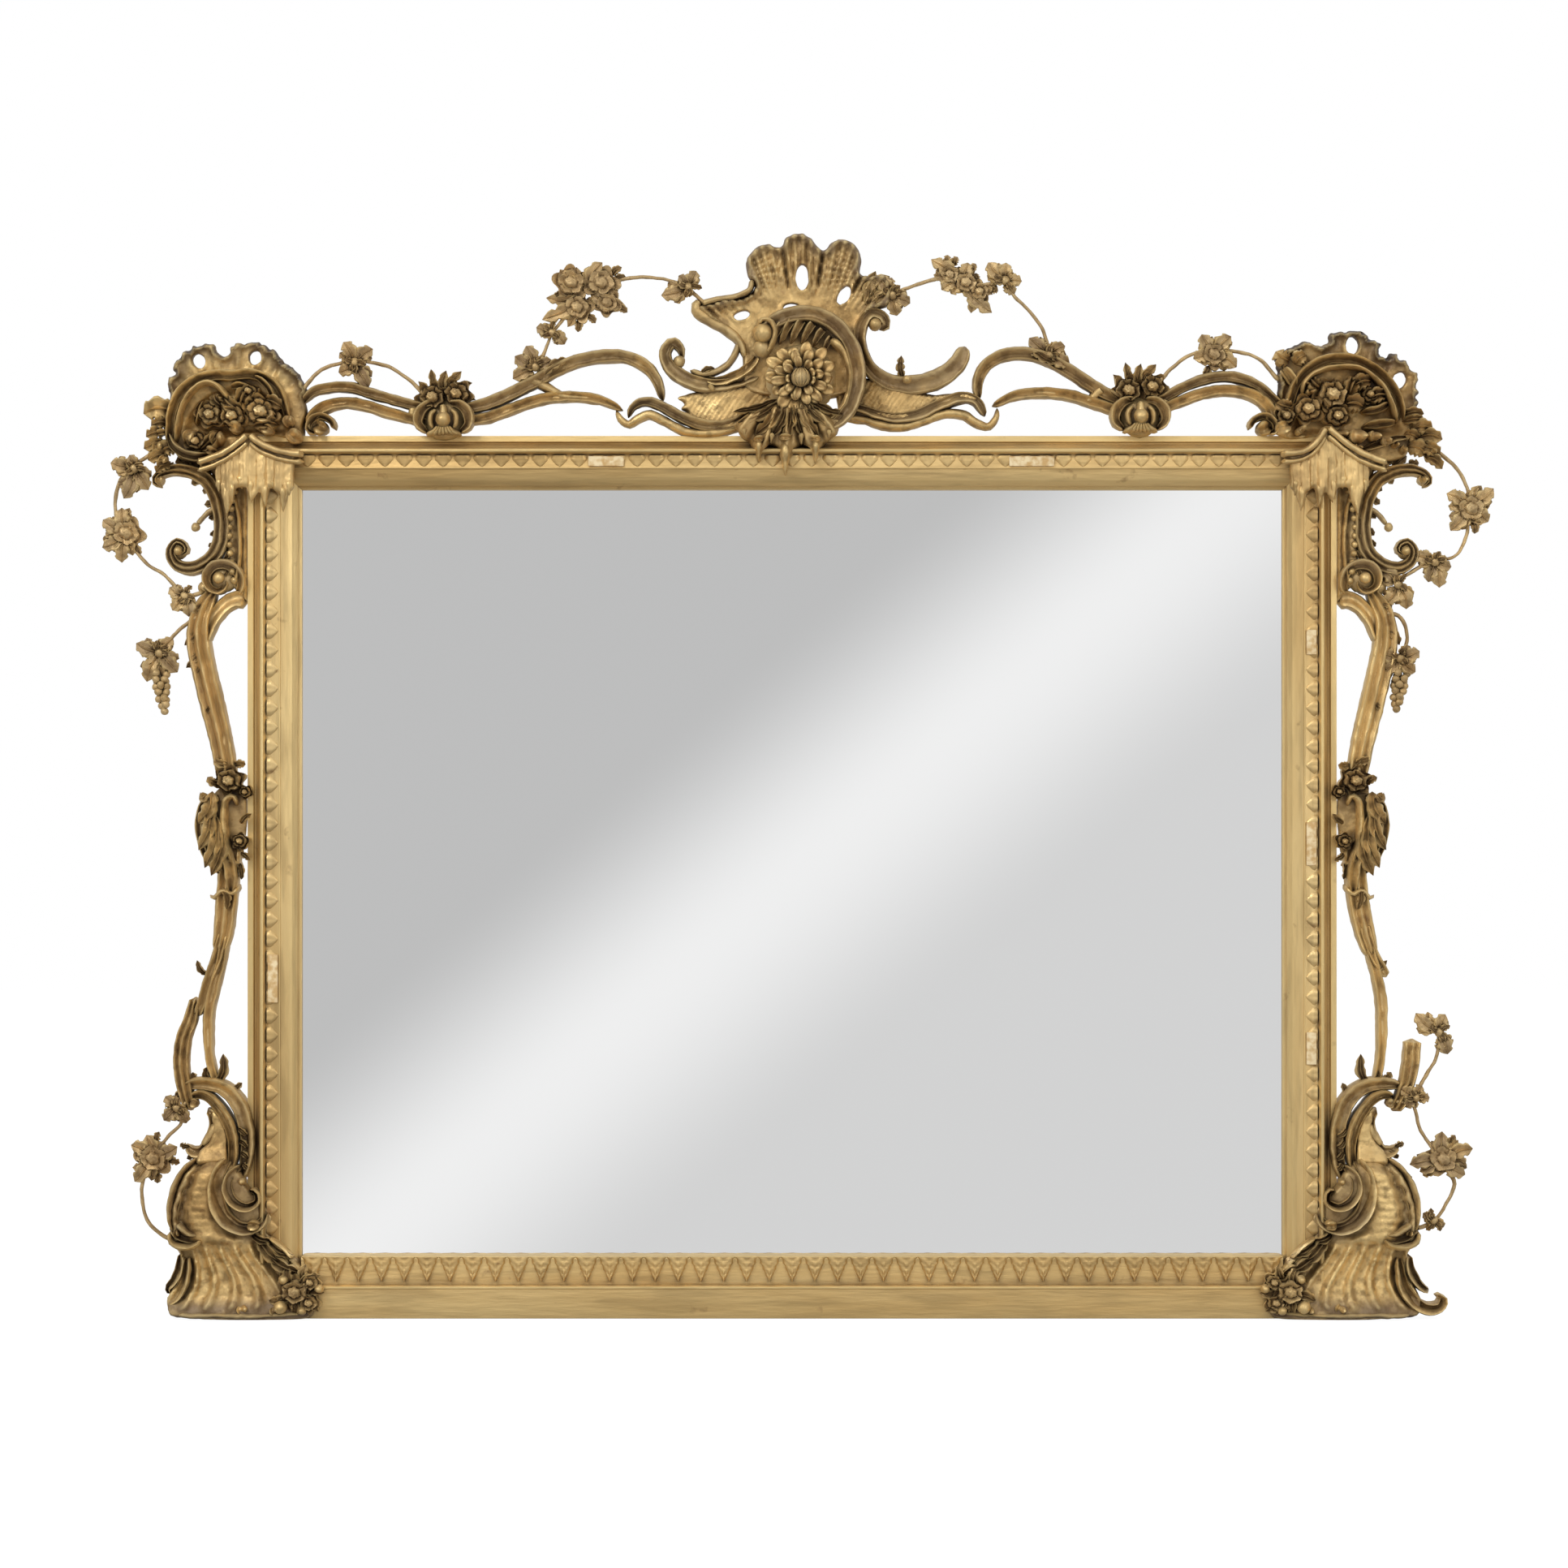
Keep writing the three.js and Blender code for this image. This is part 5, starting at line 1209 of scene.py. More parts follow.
brightGilding = gilding(
    "bright_carving", tone(242, 210, 146), tone(206, 170, 112), tone(152, 128, 96), tone(76, 54, 30),
    dust=0.3, streak=(1, 1, 0.3), rough=0.36, paintedShadeReach=0.012, aged=0.35,
)
canopyOutline = [
    (60, -34), (44, -29), (25, -21), (8, -10), (-5, 2), (-17, -9), (-36, -17), (-55, -22), (-74, -22),
    (-74, -29), (-63, -33), (-63, -68), (-57, -75), (-49, -98), (-43, -75), (-32, -68), (-26, -92),
    (-19, -72), (-8, -87), (-2, -68), (12, -68), (16, -87), (24, -104), (30, -75), (38, -66),
    (38, -38), (58, -42),
]
canopySide = [(0.3, -14), (0.3, -64), (34, -64), (35, -40), (52, -40), (52, -34), (25, -23)]
eaves = [
    [(62, -37), (44, -31), (25, -23), (8, -11), (-5, 1)],
    [(-5, 1), (-17, -10), (-36, -19), (-55, -24), (-75, -25)],
]
for word, side in bothSides:

    def place(points):
        peaked = []
        for out, up in points:
            near = max(0, 1 - abs(out + 5) / 36) * (up > -32) * (side > 0)
            peaked.append((out - 12 * near, up + 9 * near))
        return beside(side, topEdge)(peaked)

    def folds(x, y, rim, opening):
        """Hanging folds with fine cuts, deeper towards the drips."""
        out, drop = abs(x) - sideEdge, topEdge - y
        hang = ease((drop - 20) / 40)
        wave = math.cos(0.3 * out + 0.3 * math.sin(drop / 20)) + 0.45 * math.cos(0.83 * out + 1)
        cuts = 0.5 * math.cos(2.1 * out)
        return 10.5 + 1.7 * wave * (0.4 + 0.6 * hang) + cuts - 3 * math.exp(-((rim / 2) ** 2)) + hang

    parts = [
        carved_board(place(canopyOutline), [], 25.3, folds, 0.12, cell=1.8),
        carved_board(
            place(canopySide), [], 4, lambda x, y, rim, opening: 20 + folds(x, y, rim, opening), 0.2,
                cell=1.9,
        ),
    ]
    for edge in eaves:
        parts.append(strip(place(edge), ridged, [9], [21.5], 25.3, 0.2, ends=(0.02, 0.02)))
        parts.append(strip(
            place([(out, up - 10) for out, up in edge]), ridged, [7], [16.5], 25.3, 0.1, ends=(0.02, 0.02),
        ))
    for out, top, tip, width in (
        (-57, -56, -79, 9), (-49, -62, -99, 10), (-37, -58, -71, 10), (-26, -60, -93, 9), (-8, -54, -88, 9),
        (5, -50, -70, 11), (16, -60, -86, 7), (24, -60, -104, 9), (33, -54, -76, 8),
    ):
        parts.append(strip(
            place([(out, top), (out + 0.6, (top + tip) / 2), (out, tip)]), ridged,
            [0.9 * width, width, 0.6 * width, 0.15 * width], [11, 12.5, 11, 8], 25.3, 0.12, ends=(0.3, 0.12),
            pitch=3,
        ))
    assemble(f"canopy_{word}", f"corner_canopy_{word}", parts, brightGilding)

# ------------------------------------------------------------------ the corner shells
# Behind each canopy stands a pierced shell with ribs and a ragged, darkened edge. Two bright
# bands frame its deep hollow, short bars cross it, and leaves and buds grow out on its outer side.

cornerShells = {
    "left": {
        "edge": [
            (100, 0), (102, 20), (100, 38), (104, 47), (99, 55), (103, 65), (101, 75), (94, 79), (96, 90),
            (91, 98),
            (87, 103), (83, 110), (76, 112), (71, 118), (61, 116), (54, 119), (45, 118), (39, 111), (33, 106),
            (26, 106), (22, 110), (20, 119), (11, 122), (3, 119), (-5, 122), (-14, 121), (-21, 118),
            (-27, 113),
            (-34, 111), (-38, 104), (-45, 101), (-46, 93), (-53, 90), (-58, 86), (-64, 82), (-69, 74),
            (-75, 62),
            (-73, 46), (-77, 32), (-73, 14), (-71, -3), (1, -3), (1, -30), (57, -35), (88, -30),
        ],
        "holes": [((63, 97), 16, 20, -0.5), ((-10, 101), 17, 19, 0)],
        "band": [
            (100, -20), (99, 8), (94, 36), (82, 58), (62, 72), (40, 77), (18, 77), (-6, 79), (-27, 72),
            (-41, 58),
            (-49, 38), (-54, 16),
        ],
        "rim": [(92, -12), (88, 12), (84, 32), (75, 50), (62, 63), (50, 68), (38, 64), (28, 54), (20, 42)],
        "bars": [
            ([(57, 46), (62, 32), (66, 12)], 7, 42, 0.1), ([(-8, 77), (-20, 70), (-30, 60), (-37, 44)], 8, 46,
            0.08),
            ([(102, 4), (94, -13), (80, -24), (60, -28), (40, -25)], 12, 47, 0.65),
            ([(22, 62), (8, 64), (-8, 58)], 10, 36, 0.3),
        ],
        "leaves": [
            ((96, 33), (134, 29), 23, 0.05), ((100, 16), (124, 12), 14, 0.85), ((106, 4), (130, -2), 13, 0.5),
            ((106, -12), (133, -17), 15, 0.45), ((92, -14), (114, -24), 17, 0.4),
            ((102, -26), (128, -32), 14, 0.5), ((98, -36), (118, -48), 12, 0.4),
        ],
        "buds": [((113, -6), (112, -23), 14), ((103, -26), (109, -38), 11), ((117, 2), (102, 5), 8)],
    },
    "right": {
        "edge": [
            (100, 0), (104, 18), (103, 36), (108, 44), (101, 50), (107, 57), (101, 63), (104, 74), (101, 86),
            (94, 91), (89, 97), (82, 99), (78, 106), (70, 106), (65, 101), (57, 102), (55, 108), (58, 118),
            (53, 124), (46, 125), (41, 131), (34, 134), (30, 139), (22, 136), (12, 137), (4, 133), (-5, 134),
            (-10, 128), (-13, 121), (-20, 118), (-29, 117), (-35, 121), (-45, 121), (-54, 119), (-62, 113),
            (-73, 111), (-77, 103), (-79, 90), (-75, 78), (-78, 60), (-75, 40), (-71, -3), (1, -3), (1, -30),
            (57, -35), (88, -28),
        ],
        "holes": [((20, 117), 18, 24, 0), ((81, 72), 18, 23, -0.5)],
        "band": [
            (-64, 20), (-62, 42), (-54, 66), (-38, 85), (-14, 97), (14, 98), (42, 88), (64, 70), (78, 46),
            (85, 16),
        ],
        "rim": [(-46, 48), (-44, 66), (-28, 81), (0, 88), (26, 86), (46, 74), (60, 58), (70, 38), (77, 16)],
        "bars": [
            ([(32, 11), (52, 14), (76, 17)], 12, 44, 0.1), ([(30, 30), (50, 33), (68, 42)], 11, 42, 0.1),
            ([(14, 74), (26, 66), (36, 46)], 10, 40, 0.1),
            ([(92, -2), (70, -6), (48, -14), (28, -20)], 10, 38, 0.45),
            ([(-72, 88), (-62, 76), (-54, 62)], 14, 36, 0.1),
        ],
        "leaves": [
            ((84, 27), (112, 28), 10, 0.05), ((84, 18), (114, 18), 10, 0.15), ((94, 9), (124, 8), 16, 0.35),
            ((102, -2), (136, -5), 15, 0.4), ((90, -14), (116, -24), 18, 0.4),
            ((106, -14), (133, -25), 15, 0.5), ((112, -26), (136, -43), 12, 0.5),
            ((86, 2), (106, -6), 13, 0.15), ((-62, 96), (-80, 108), 18, 0.7),
            ((-56, 92), (-40, 104), 16, 0.6),
        ],
        "buds": [((118, -17), (127, -26), 10), ((76, -7), (74, -17), 10), ((87, -13), (84, -25), 10)],
    },
}


cornerGilding = gilding(
    "corner_gilding", tone(242, 210, 146), tone(200, 164, 106), tone(64, 45, 25), tone(64, 42, 20),
    dust=0.2, rough=0.4, paintedShadeReach=0.012, aged=0.45,
)


def ragged(points):
    """A shell's broken edge: small bites all along its upper part."""
    bitten = []
    for x, y in rounded_off(points):
        bite = noise.noise_vector((x / 5, y / 5, 0)) * 5.5 * ease((y - topEdge - 30) / 30)
        bitten.append((x + bite.x, y + bite.y))
    return bitten


def scallops(x, y):
    """The angle and the distance of a place about the corner shell's root."""
    out, up = abs(x) - sideEdge - 12, y - topEdge + 10
    return math.degrees(math.atan2(out, up)), math.hypot(out, up)


def corner_relief(x, y, rim, opening):
    """A fan of ribs with a rolled rim, round a deep hollow."""
    angle, far = scallops(x, y)
    fan = ease((far - 88) / 18) * ease((y - topEdge - 30) / 20)
    ribs = (2.6 * math.cos(math.radians(angle * 22)) + 1.4 * math.cos(math.radians(angle * 47))) * fan
    roll = 5 * math.exp(-(((rim - 4) / 3) ** 2)) * fan
    hollow = 8 * (1 - ease((far - 62) / 14)) * ease((y - topEdge + 4) / 14)
    return 22 + ribs + roll - hollow + 3 * math.exp(-((opening / 3) ** 2)) - 7 * math.exp(-((rim / 1.8) ** 2))


def corner_wear(x, y, rim):
    """The gold has darkened towards the ragged edge."""
    return 0.12 + 0.95 * math.exp(-((rim / 16) ** 2)) * ease((y - topEdge - 10) / 40)


for word, side in bothSides:
    place = beside(side, topEdge)
    shell = cornerShells[word]
    openings = [oval(place([at])[0], width, high, side * lean) for at, width, high, lean in shell["holes"]]
    parts = [
        carved_board(ragged(place(shell["edge"])), openings, -14, corner_relief, corner_wear),
        strip(place(shell["band"]), rolled, [10, 13, 15, 15, 14, 13, 10], [36, 42, 45, 45, 43, 38], -14,
            0.12),
        strip(place(shell["rim"]), ridged, [7, 8, 7, 7, 8, 8], [44, 52, 54, 53, 48], -14, 0.03),
    ]
    for route, width, high, weather in shell["bars"]:
        parts.append(strip(
            place(route), rolled, [0.6 * width, width, width, 0.6 * width], [high - 6, high, high, high - 6],
                -8, weather,
            ends=(0.15, 0.2), pitch=3.5,
        ))
    for root, tip, width, weather in shell["leaves"]:
        parts.append(leaf(*place([root, tip]), width * 1.35, low=6, rise=13, lift=9, bend=0.1 * side,
                          weather=0.25 * weather))
    for root, tip, width in shell["buds"]:
        parts.append(bud(*place([root, tip]), width, 4, 34, 0.03))
    assemble(f"shell_corner_{word}", f"corner_shell_{word}", parts, cornerGilding)

# ------------------------------------------------------------------ the corner bouquets
# In the hollow of each corner shell sits a bouquet of roses, leaves and plump buds, carved in
# bold lumps with dark gaps between them.

bouquetGilding = gilding(
    "bouquet_gilding", tone(250, 222, 162), tone(214, 178, 120), tone(124, 100, 70), tone(62, 42, 20),
    dust=0.4, rough=0.4, paintedShadeReach=0.006, aged=0.4,
)
bouquets = {
    "left": (
        [
            ((46, 26), 16, 39, 5, 0.4, 0.5), ((17, 24), 17, 42, 5, 0.2, 0.2),
            ((-20, 30), 20, 41, 6, 0.9, 0.4),
            ((64, -8), 13, 37, 5, 0.1, 0.4), ((-4, 56), 11, 34, 4, 0.5, 0.35),
        ],
        [
            ((8, 38), (-10, 62), 15, 0.3), ((4, 30), (30, 50), 14, 0.4), ((-24, 44), (-46, 36), 13, 0.5),
            ((34, 6), (62, -20), 13, 0.45), ((-8, 12), (-42, 14), 15, 0.25), ((30, 36), (42, 54), 11, 0.5),
        ],
        [
            ((35, 6), (34, -15), 15, 0.12), ((22, 12), (5, 8), 13, 0.05), ((-54, 6), (-71, -8), 15, 0.12),
            ((-34, 20), (-12, 22), 11, 0.05), ((-36, 3), (-20, 9), 11, 0.55), ((52, -18), (37, -23), 9, 0.5),
            ((67, 6), (76, -12), 12, 0.3), ((-56, 26), (-58, 10), 11, 0.4),
        ],
    ),
    "right": (
        [
            ((-40, 33), 18, 42, 5, 0.3, 0.3), ((-8, 52), 21, 39, 6, 0.6, 0.6),
            ((-2, 24), 15, 43, 5, 0.2, 0.5),
            ((-68, 24), 12, 38, 5, 0.6, 0.6), ((40, 52), 11, 34, 5, 0.3, 0.1),
        ],
        [
            ((8, 40), (34, 36), 17, 0.3), ((18, 62), (44, 70), 15, 0.1), ((38, 46), (64, 52), 14, 0.3),
            ((-24, 60), (-38, 74), 12, 0.4),
            ((-58, 34), (-80, 42), 14, 0.5), ((14, 52), (24, 74), 14, 0.2),
        ],
        [
            ((27, 8), (26, -12), 20, 0.2), ((48, 5), (47, -9), 13, 0.08), ((-52, 10), (-45, 3), 11, 0.65),
            ((-62, 13), (-80, 3), 15, 0.2), ((-36, 59), (-35, 51), 9, 0.05), ((26, -13), (24, -20), 8, 0.2),
            ((4, 6), (8, -6), 12, 0.5), ((60, -2), (64, -14), 11, 0.5),
        ],
    ),
}
for word, side in bothSides:
    place = beside(side, topEdge)
    roses, leaves, buds = bouquets[word]
    parts = []
    for at, radius, high, petals, turn, weather in roses:
        parts += rose(place([at])[0], radius * 1.2, 4, high + 12, petals=petals, turn=turn,
            weather=0.6 * weather)
    for root, tip, width, weather in leaves:
        parts.append(leaf(*place([root, tip]), width * 1.5, low=6, rise=32, lift=8, weather=0.6 * weather))
    for root, tip, width, weather in buds:
        parts.append(bud(*place([root, tip]), width * 1.3, 4, 49, 0.5 * weather))
    assemble(f"bouquet_{word}", f"corner_bouquet_{word}", parts, bouquetGilding)

# ------------------------------------------------------------------ the crooks
# Under each corner a twin-ridged scroll hooks out and back into a volute, with small leaves on
# its outer edge and a beaded web between it and the stile.

crook = [
    (112, -66), (119, -58), (112, -49), (93, -44), (72, -47), (52, -58), (40, -77), (34, -100), (33, -123),
    (37, -144), (48, -160), (64, -169), (81, -171), (95, -163), (99, -148), (91, -138), (81, -143),
    (82, -151), (89, -152),
]
webOutline = [
    (0.3, -36), (52, -36), (44, -56), (34, -80), (27, -104), (26, -131), (28, -160), (24, -190), (0.3, -215),
]


def hollow_web(x, y, rim, opening):
    """A web with a groove down it, behind the row of beads."""
    out = abs(x) - sideEdge
    return 19 - 5 * math.exp(-(((out - 11) / 7) ** 2)) - 3 * math.exp(-((rim / 2) ** 2))


for word, side in bothSides:
    place = beside(side, topEdge)
    parts = [
        carved_board(place(webOutline), [], -10, hollow_web, 0.25),
        strip(
            place(crook), twinFluted, [9, 13, 17, 20, 21, 21, 21, 20, 18, 15, 12, 8],
                [26, 32, 36, 34, 32, 28, 26],
            -14, lambda x, y: 0.08 + 0.6 * ease((topEdge - 66 - y) / 45), turned=side, ends=(0.03, 0.03),
        ),
        bead(place([(90, -148)])[0], 12, -12, 9, 0.9),
        bead(place([(89, -149)])[0], 6, -8, 20, 0.15),
        bud(*place([(112, -50), (112, -64)]), 12, -8, 22, 0.1),
        strip(place([(24, -60), (15, -86), (10, -120), (10, -160), (16, -196)]), ridged, [5, 6, 6, 5], [22],
            -8, 0.1),
        strip(place([(34, -92), (50, -98), (60, -108), (66, -116)]), ridged, [9, 7, 6, 5], [16, 14, 12], -4,
            0.7),
        bead(place([(67, -118)])[0], 6, -3, 12, 0.5),
    ]
    for step in range(11):
        y = -72 - 11.5 * step
        parts.append(bead(place([(20 - 0.0022 * (step * 11.5 - 60) ** 2 + 3, y)])[0], 4.6, 4, 16, 0.1))
        if step % 2:
            parts.append(leaf(*place([(24, y + 4), (30, y - 8)]), 7, low=6, rise=6, weather=0.3))
    for root, tip, width in (
        ((42, -66), (60, -70), 12), ((38, -80), (57, -88), 12), ((36, -96), (52, -106), 11),
        ((38, -120), (50, -128), 9), ((38, -136), (52, -142), 9), ((60, -50), (74, -62), 11),
        ((84, -42), (80, -34), 9), ((56, -44), (72, -28), 17), ((74, -40), (92, -26), 17),
        ((44, -46), (56, -32), 14),
        ((92, -42), (108, -34), 14),
    ):
        parts.append(leaf(*place([root, tip]), width, low=-8, rise=9, lift=4, weather=0.6))
    assemble(f"crook_{word}", f"side_crook_{word}", parts, carvedGilding)

# ------------------------------------------------------------------ the side bars
# Down each side runs an open bracket of fluted bars. It starts in a knotted volute, swings out,
# is tied to the stile by a clasp half way, and parts into two slim bars above the foot.

# Here a place is so far out, and so many hundredths of the bracket's height up from its foot.
bracketFoot, bracketPercent = 296, 6.33
for word, side in bothSides:
    place, corner = beside(side, bracketFoot, bracketPercent), beside(side, topEdge)
    parts = [
        strip(
            place([
                (40, 102.5), (52, 99.5), (61, 96.5), (64, 92.8), (62, 89.3), (54, 83.5), (44, 76.9),
                (34, 70.2),
                (25, 62),
            ]),
            twinFluted, [16, 26, 31, 31, 31, 30, 28, 26], [26, 30, 30, 28, 26], -14, 0.12, turned=side,
        ),
        strip(place([(0.6, 99.5), (15, 99.8), (30, 98.5), (44, 95.6), (54, 91)]), rolled,
            [24, 22, 20, 16, 12],
              [26, 28, 28], -14, 0.1, turned=-side),
        strip(
            corner([
                (14, -206), (8, -194), (11, -178), (24, -167), (42, -168), (52, -180), (50, -194), (38, -201),
                (28, -194), (29, -184),
            ]),
            rolled, [10, 13, 14, 14, 12, 9, 7], [28, 34, 36, 34, 30], -14,
            lambda x, y: 0.1 + 0.6 * ease((y - topEdge + 186) / 14), turned=side,
        ),
        bead(corner([(32, -184)])[0], 19, -14, 12, 0.5),
        bead(corner([(36, -184)])[0], 8, 4, 24, 0.05),
        bead(corner([(56, -196)])[0], 9, -12, 12, 0.3),
    ]
    for root, tip, width in (
        ((62, 94), (82, 90.5), 13), ((60, 90), (80, 85.8), 11), ((58, 88), (70, 83.5), 9),
        ((46, 79), (58, 76), 8),
        ((58, 99), (72, 98), 12), ((50, 101), (60, 103), 11),
    ):
        parts.append(leaf(*place([root, tip]), width, low=-2, rise=10, lift=5, weather=0.45))
    assemble(f"bar_upper_{word}", f"side_bar_upper_{word}", parts, brightGilding)

sideBars = {
    "left": {
        "outer": [(31, 32), (40, 26.4), (50, 22.3), (57, 18.5), (66, 14.5)],
        "inner": [(29, 31), (35, 25.6), (43, 20.7), (50, 15.7), (51, 10.7), (49, 5.8), (38, 0)],
    },
    "right": {
        "outer": [(35, 33.5), (47, 27.5), (57, 24.8), (66, 22.5)],
        "inner": [(40, 30), (52, 23), (58, 18), (59, 12), (57, 6), (50, 0)],
    },
}
for word, side in bothSides:
    place = beside(side, bracketFoot, bracketPercent)
    shaft = [(20, 49.6), (25, 43), (28, 37.2), (32, 31.4), (38, 27.6)]
    if side > 0:
        shaft = [(20, 49.6), (25, 43), (30, 36.8), (39, 30.5), (46, 26.8)]
    parts = [
        strip(place(shaft), twinFluted, [25, 28, 28, 26, 20], [27], -14, 0.14, turned=side),
        strip(place(sideBars[word]["outer"]), fluted, [15, 16, 15, 14, 12], [25, 25, 22], -14, 0.16,
            turned=side),
        strip(place(sideBars[word]["inner"]), fluted, [13, 14, 15, 14, 12, 10], [24, 25, 24, 22], -14, 0.16,
              turned=side),
    ]
    for share, slope in ((46.6, 1.2), (40.2, -1.4)):
        shift = 0.55 * (46.6 - share)
        parts.append(strip(
            place([
                (7 + shift, share - slope, 0), (16 + shift, share - 0.5, 3), (28 + shift, share + 0.2, 3),
                (40 + shift, share + slope, 0), (47 + shift, share + slope + 0.6, -3),
            ]),
            ridged, [9, 8, 8, 7, 4], [24, 27, 26, 22], -13, 0.35, ends=(0.15, 0.2),
        ))
    parts.append(leaf(*place([(30, 41), (26, 36.5)]), 11, low=8, rise=8, weather=0.3))
    parts.append(leaf(*place([(54, 23), (66, 26)]), 8, low=-4, rise=8, weather=0.5))
    assemble(f"bar_lower_{word}", f"side_bar_lower_{word}", parts, brightGilding)

# ------------------------------------------------------------------ the side clasps
# Half way down, the bracket is tied to the stile: a flower over a C-curl with a dark hollow, a
# ruffled leaf that folds round the outer side, and a tongue that laps over the bar below.

for word, side in bothSides:
    place = beside(side, bracketFoot, bracketPercent)
    parts = rose(place([(23, 62.8)])[0], 21, -6, 36, petals=6, turn=0.5, weather=0.35)
    parts += rose(place([(2, 60.5)])[0], 10, -4, 30, petals=5, turn=0.2, weather=0.4)
    parts += [
        carved_board(
            rounded_off(place([(14, 63), (44, 60), (48, 52), (30, 44), (14, 45), (3, 52), (3, 60)])), [], -12,
            lambda x, y, rim, opening: 16, 0.5,
        ),
        strip(place([(34, 59.5), (50, 58.5), (57, 54.5), (54, 50), (44, 46), (32, 43.6)]), twinFluted,
              [12, 19, 22, 20, 15, 9], [30, 34, 34, 28], -14, 0.4, turned=side),
        strip(place([(12, 57.4), (18, 59.6), (26, 59), (30, 55.8), (28, 51.6), (22, 47.8), (14, 45)]), ridged,
              [6, 9, 11, 11, 10, 8], [30, 38, 40, 38, 32], -12, 0.06, turned=side),
        strip(place([(36, 52), (26, 48), (20, 43.5), (22, 39)]), fluted, [9, 17, 18, 6], [28, 36, 34, 24],
            -12, 0.1),
    ]
    for top, foot, width, weather in (
        ((44, 60.6), (62, 54), 17, 0.3), ((48, 58), (62, 48.6), 15, 0.45), ((42, 56), (54, 45), 17, 0.3),
        ((36, 54), (46, 43.4), 15, 0.5), ((50, 60), (61, 59), 12, 0.5),
    ):
        parts.append(leaf(*place([top, foot]), 1.25 * width, low=14, rise=12, lift=9, bend=-0.14 * side,
                          weather=0.5 * weather))
    parts += rose(place([(8, 50.5)])[0], 12, 4, 38, petals=5, turn=0.6, weather=0.15)
    for root, tip, width in (
        ((24, 66), (44, 67), 13), ((16, 66), (2, 66), 12), ((36, 62), (52, 63.5), 12), ((8, 54), (-6, 56), 9),
        ((8, 48), (-4, 46.5), 9), ((10, 46), (8, 42.6), 8),
    ):
        parts.append(leaf(*place([root, tip]), width, low=2 if tip[0] > 0 else 10, rise=10, lift=6,
            weather=0.35))
    assemble(f"clasp_side_{word}", f"side_clasp_{word}", parts, carvedGilding)

# ------------------------------------------------------------------ the base scrolls
# Over each foot a C-scroll carries the bracket: a broad greyed ridge, a bright ridge inside
# it, a hook with leafy teeth, and a fluted stalk that once met the outer bar.

stalks = {
    "left": [(68, 117), (74, 89), (82, 68), (86, 42), (84, 11), (74, -30)],
    "right": [(99, 63), (97, 38), (92, 9), (84, -13), (74, -30)],
}
for word, side in bothSides:
    place = beside(side, bracketFoot)
    parts = [
        strip(
            place([(86, 2), (60, 6), (34, 1), (15, -15), (4, -40), (-1, -68), (2, -96), (10, -120)]), rolled,
            [12, 18, 21, 22, 21, 18, 15], [26, 30, 32, 32, 30], -14, 0.6, turned=-side,
        ),
        strip(
            place([(74, -12), (62, -8), (49, -12), (33, -29), (21, -52), (17, -79), (22, -108)]), rolled,
            [11, 13, 15, 15, 14, 12], [34, 38, 41, 40, 34], -14, 0.08, turned=-side,
        ),
        strip(
            place([(80, -74), (72, -82), (60, -83), (49, -72), (42, -52), (44, -36), (52, -26)]), rolled,
            [9, 16, 18, 18, 15, 12], [24, 29, 30, 28], -14, 0.5, turned=side,
        ),
        strip(place([(60, -76), (48, -62), (38, -48), (34, -66), (36, -92)]), ridged, [8, 14, 18, 20, 16],
              [26, 28, 26], -14, 0.3),
        strip(place(stalks[word]), twinFluted, [15, 19, 21, 20, 18] if side < 0 else [22, 22, 20, 18],
            [22, 26, 27, 26], -14,
              0.2, turned=side, ends=(0.04, 0.08)),
        leaf(*place([(42, 2), (32, 44)]), 13, low=-2, rise=11, bend=0.15 * side, weather=0.7),
        leaf(*place([(48, 6), (52, 28)]), 10, low=-4, rise=9, bend=-0.2 * side, weather=0.5),
        leaf(*place([(76, 2), (96, -12)]), 14, low=-6, rise=10, weather=0.55),
        leaf(*place([(64, 4), (72, 20)]), 12, low=-6, rise=10, weather=0.6),
        leaf(*place([(20, -10), (8, 6)]), 10, low=-6, rise=9, weather=0.7),
        bud(*place([(62, -20), (74, -18)]), 13, 0, 27, 0.6),
        carved_board(rounded_off(place([
            (28, -108), (25, -76), (27, -52), (36, -34), (45, -28), (45, -40), (43, -54), (49, -69),
            (60, -80),
            (64, -98), (46, -110),
        ])), [], -14, lambda x, y, rim, opening: 30 + 11 * ease((226 - y) / 30) - 14 * ease((204 - y) / 14),
            0.04),
    ]
    for at, tip in (((66, -80), (80, -92)), ((58, -84), (66, -99)), ((76, -76), (88, -72))):
        parts.append(leaf(*place([at, tip]), 9, low=-4, rise=9, weather=0.6))
    for step in range(4):
        parts.append(leaf(*place([(12 - 2 * step, -52 - 15 * step), (0 - step, -62 - 15 * step)]), 8, low=8,
            rise=9,
                          weather=0.25))
    assemble(f"scroll_base_{word}", f"base_scroll_{word}", parts, carvedGilding)

# ------------------------------------------------------------------ the rocaille feet
# Each foot is a shell-work belly with a bright ribbed panel, scrolls on both sides of it, a toe
# that hooks outwards, and a flared skirt whose folds run down to a thick greyed edge.

rocaille = [
    (24, 206), (62, 209), (80, 193), (91, 175), (100, 153), (105, 132), (102, 114), (101, 96), (91, 82),
    (92, 66), (96, 53), (102, 38), (108, 22), (104, 5), (88, 1), (-86, 1), (-91, 20), (-88, 48), (-74, 66),
    (-60, 82), (-44, 99), (-30, 110), (-35, 130), (-22, 152), (-2, 170), (8, 190),
]


def foot_place(x):
    """How far out a place lies on the right foot: the left one is a little slimmer."""
    out = abs(x) - sideEdge
    return 50 + (out - 50) / 0.91 if x < 0 and out > 50 else out


def panel_share(out, up):
    """How far across the bright ribbed panel a place lies: 0 in its middle and 1 at its edge."""
    share = max(0, min(1, (205 - up) / 108))
    return (out - paced([40, 51, 57, 60, 56, 40], share)) / paced([14, 15, 18, 20, 22, 34], share)


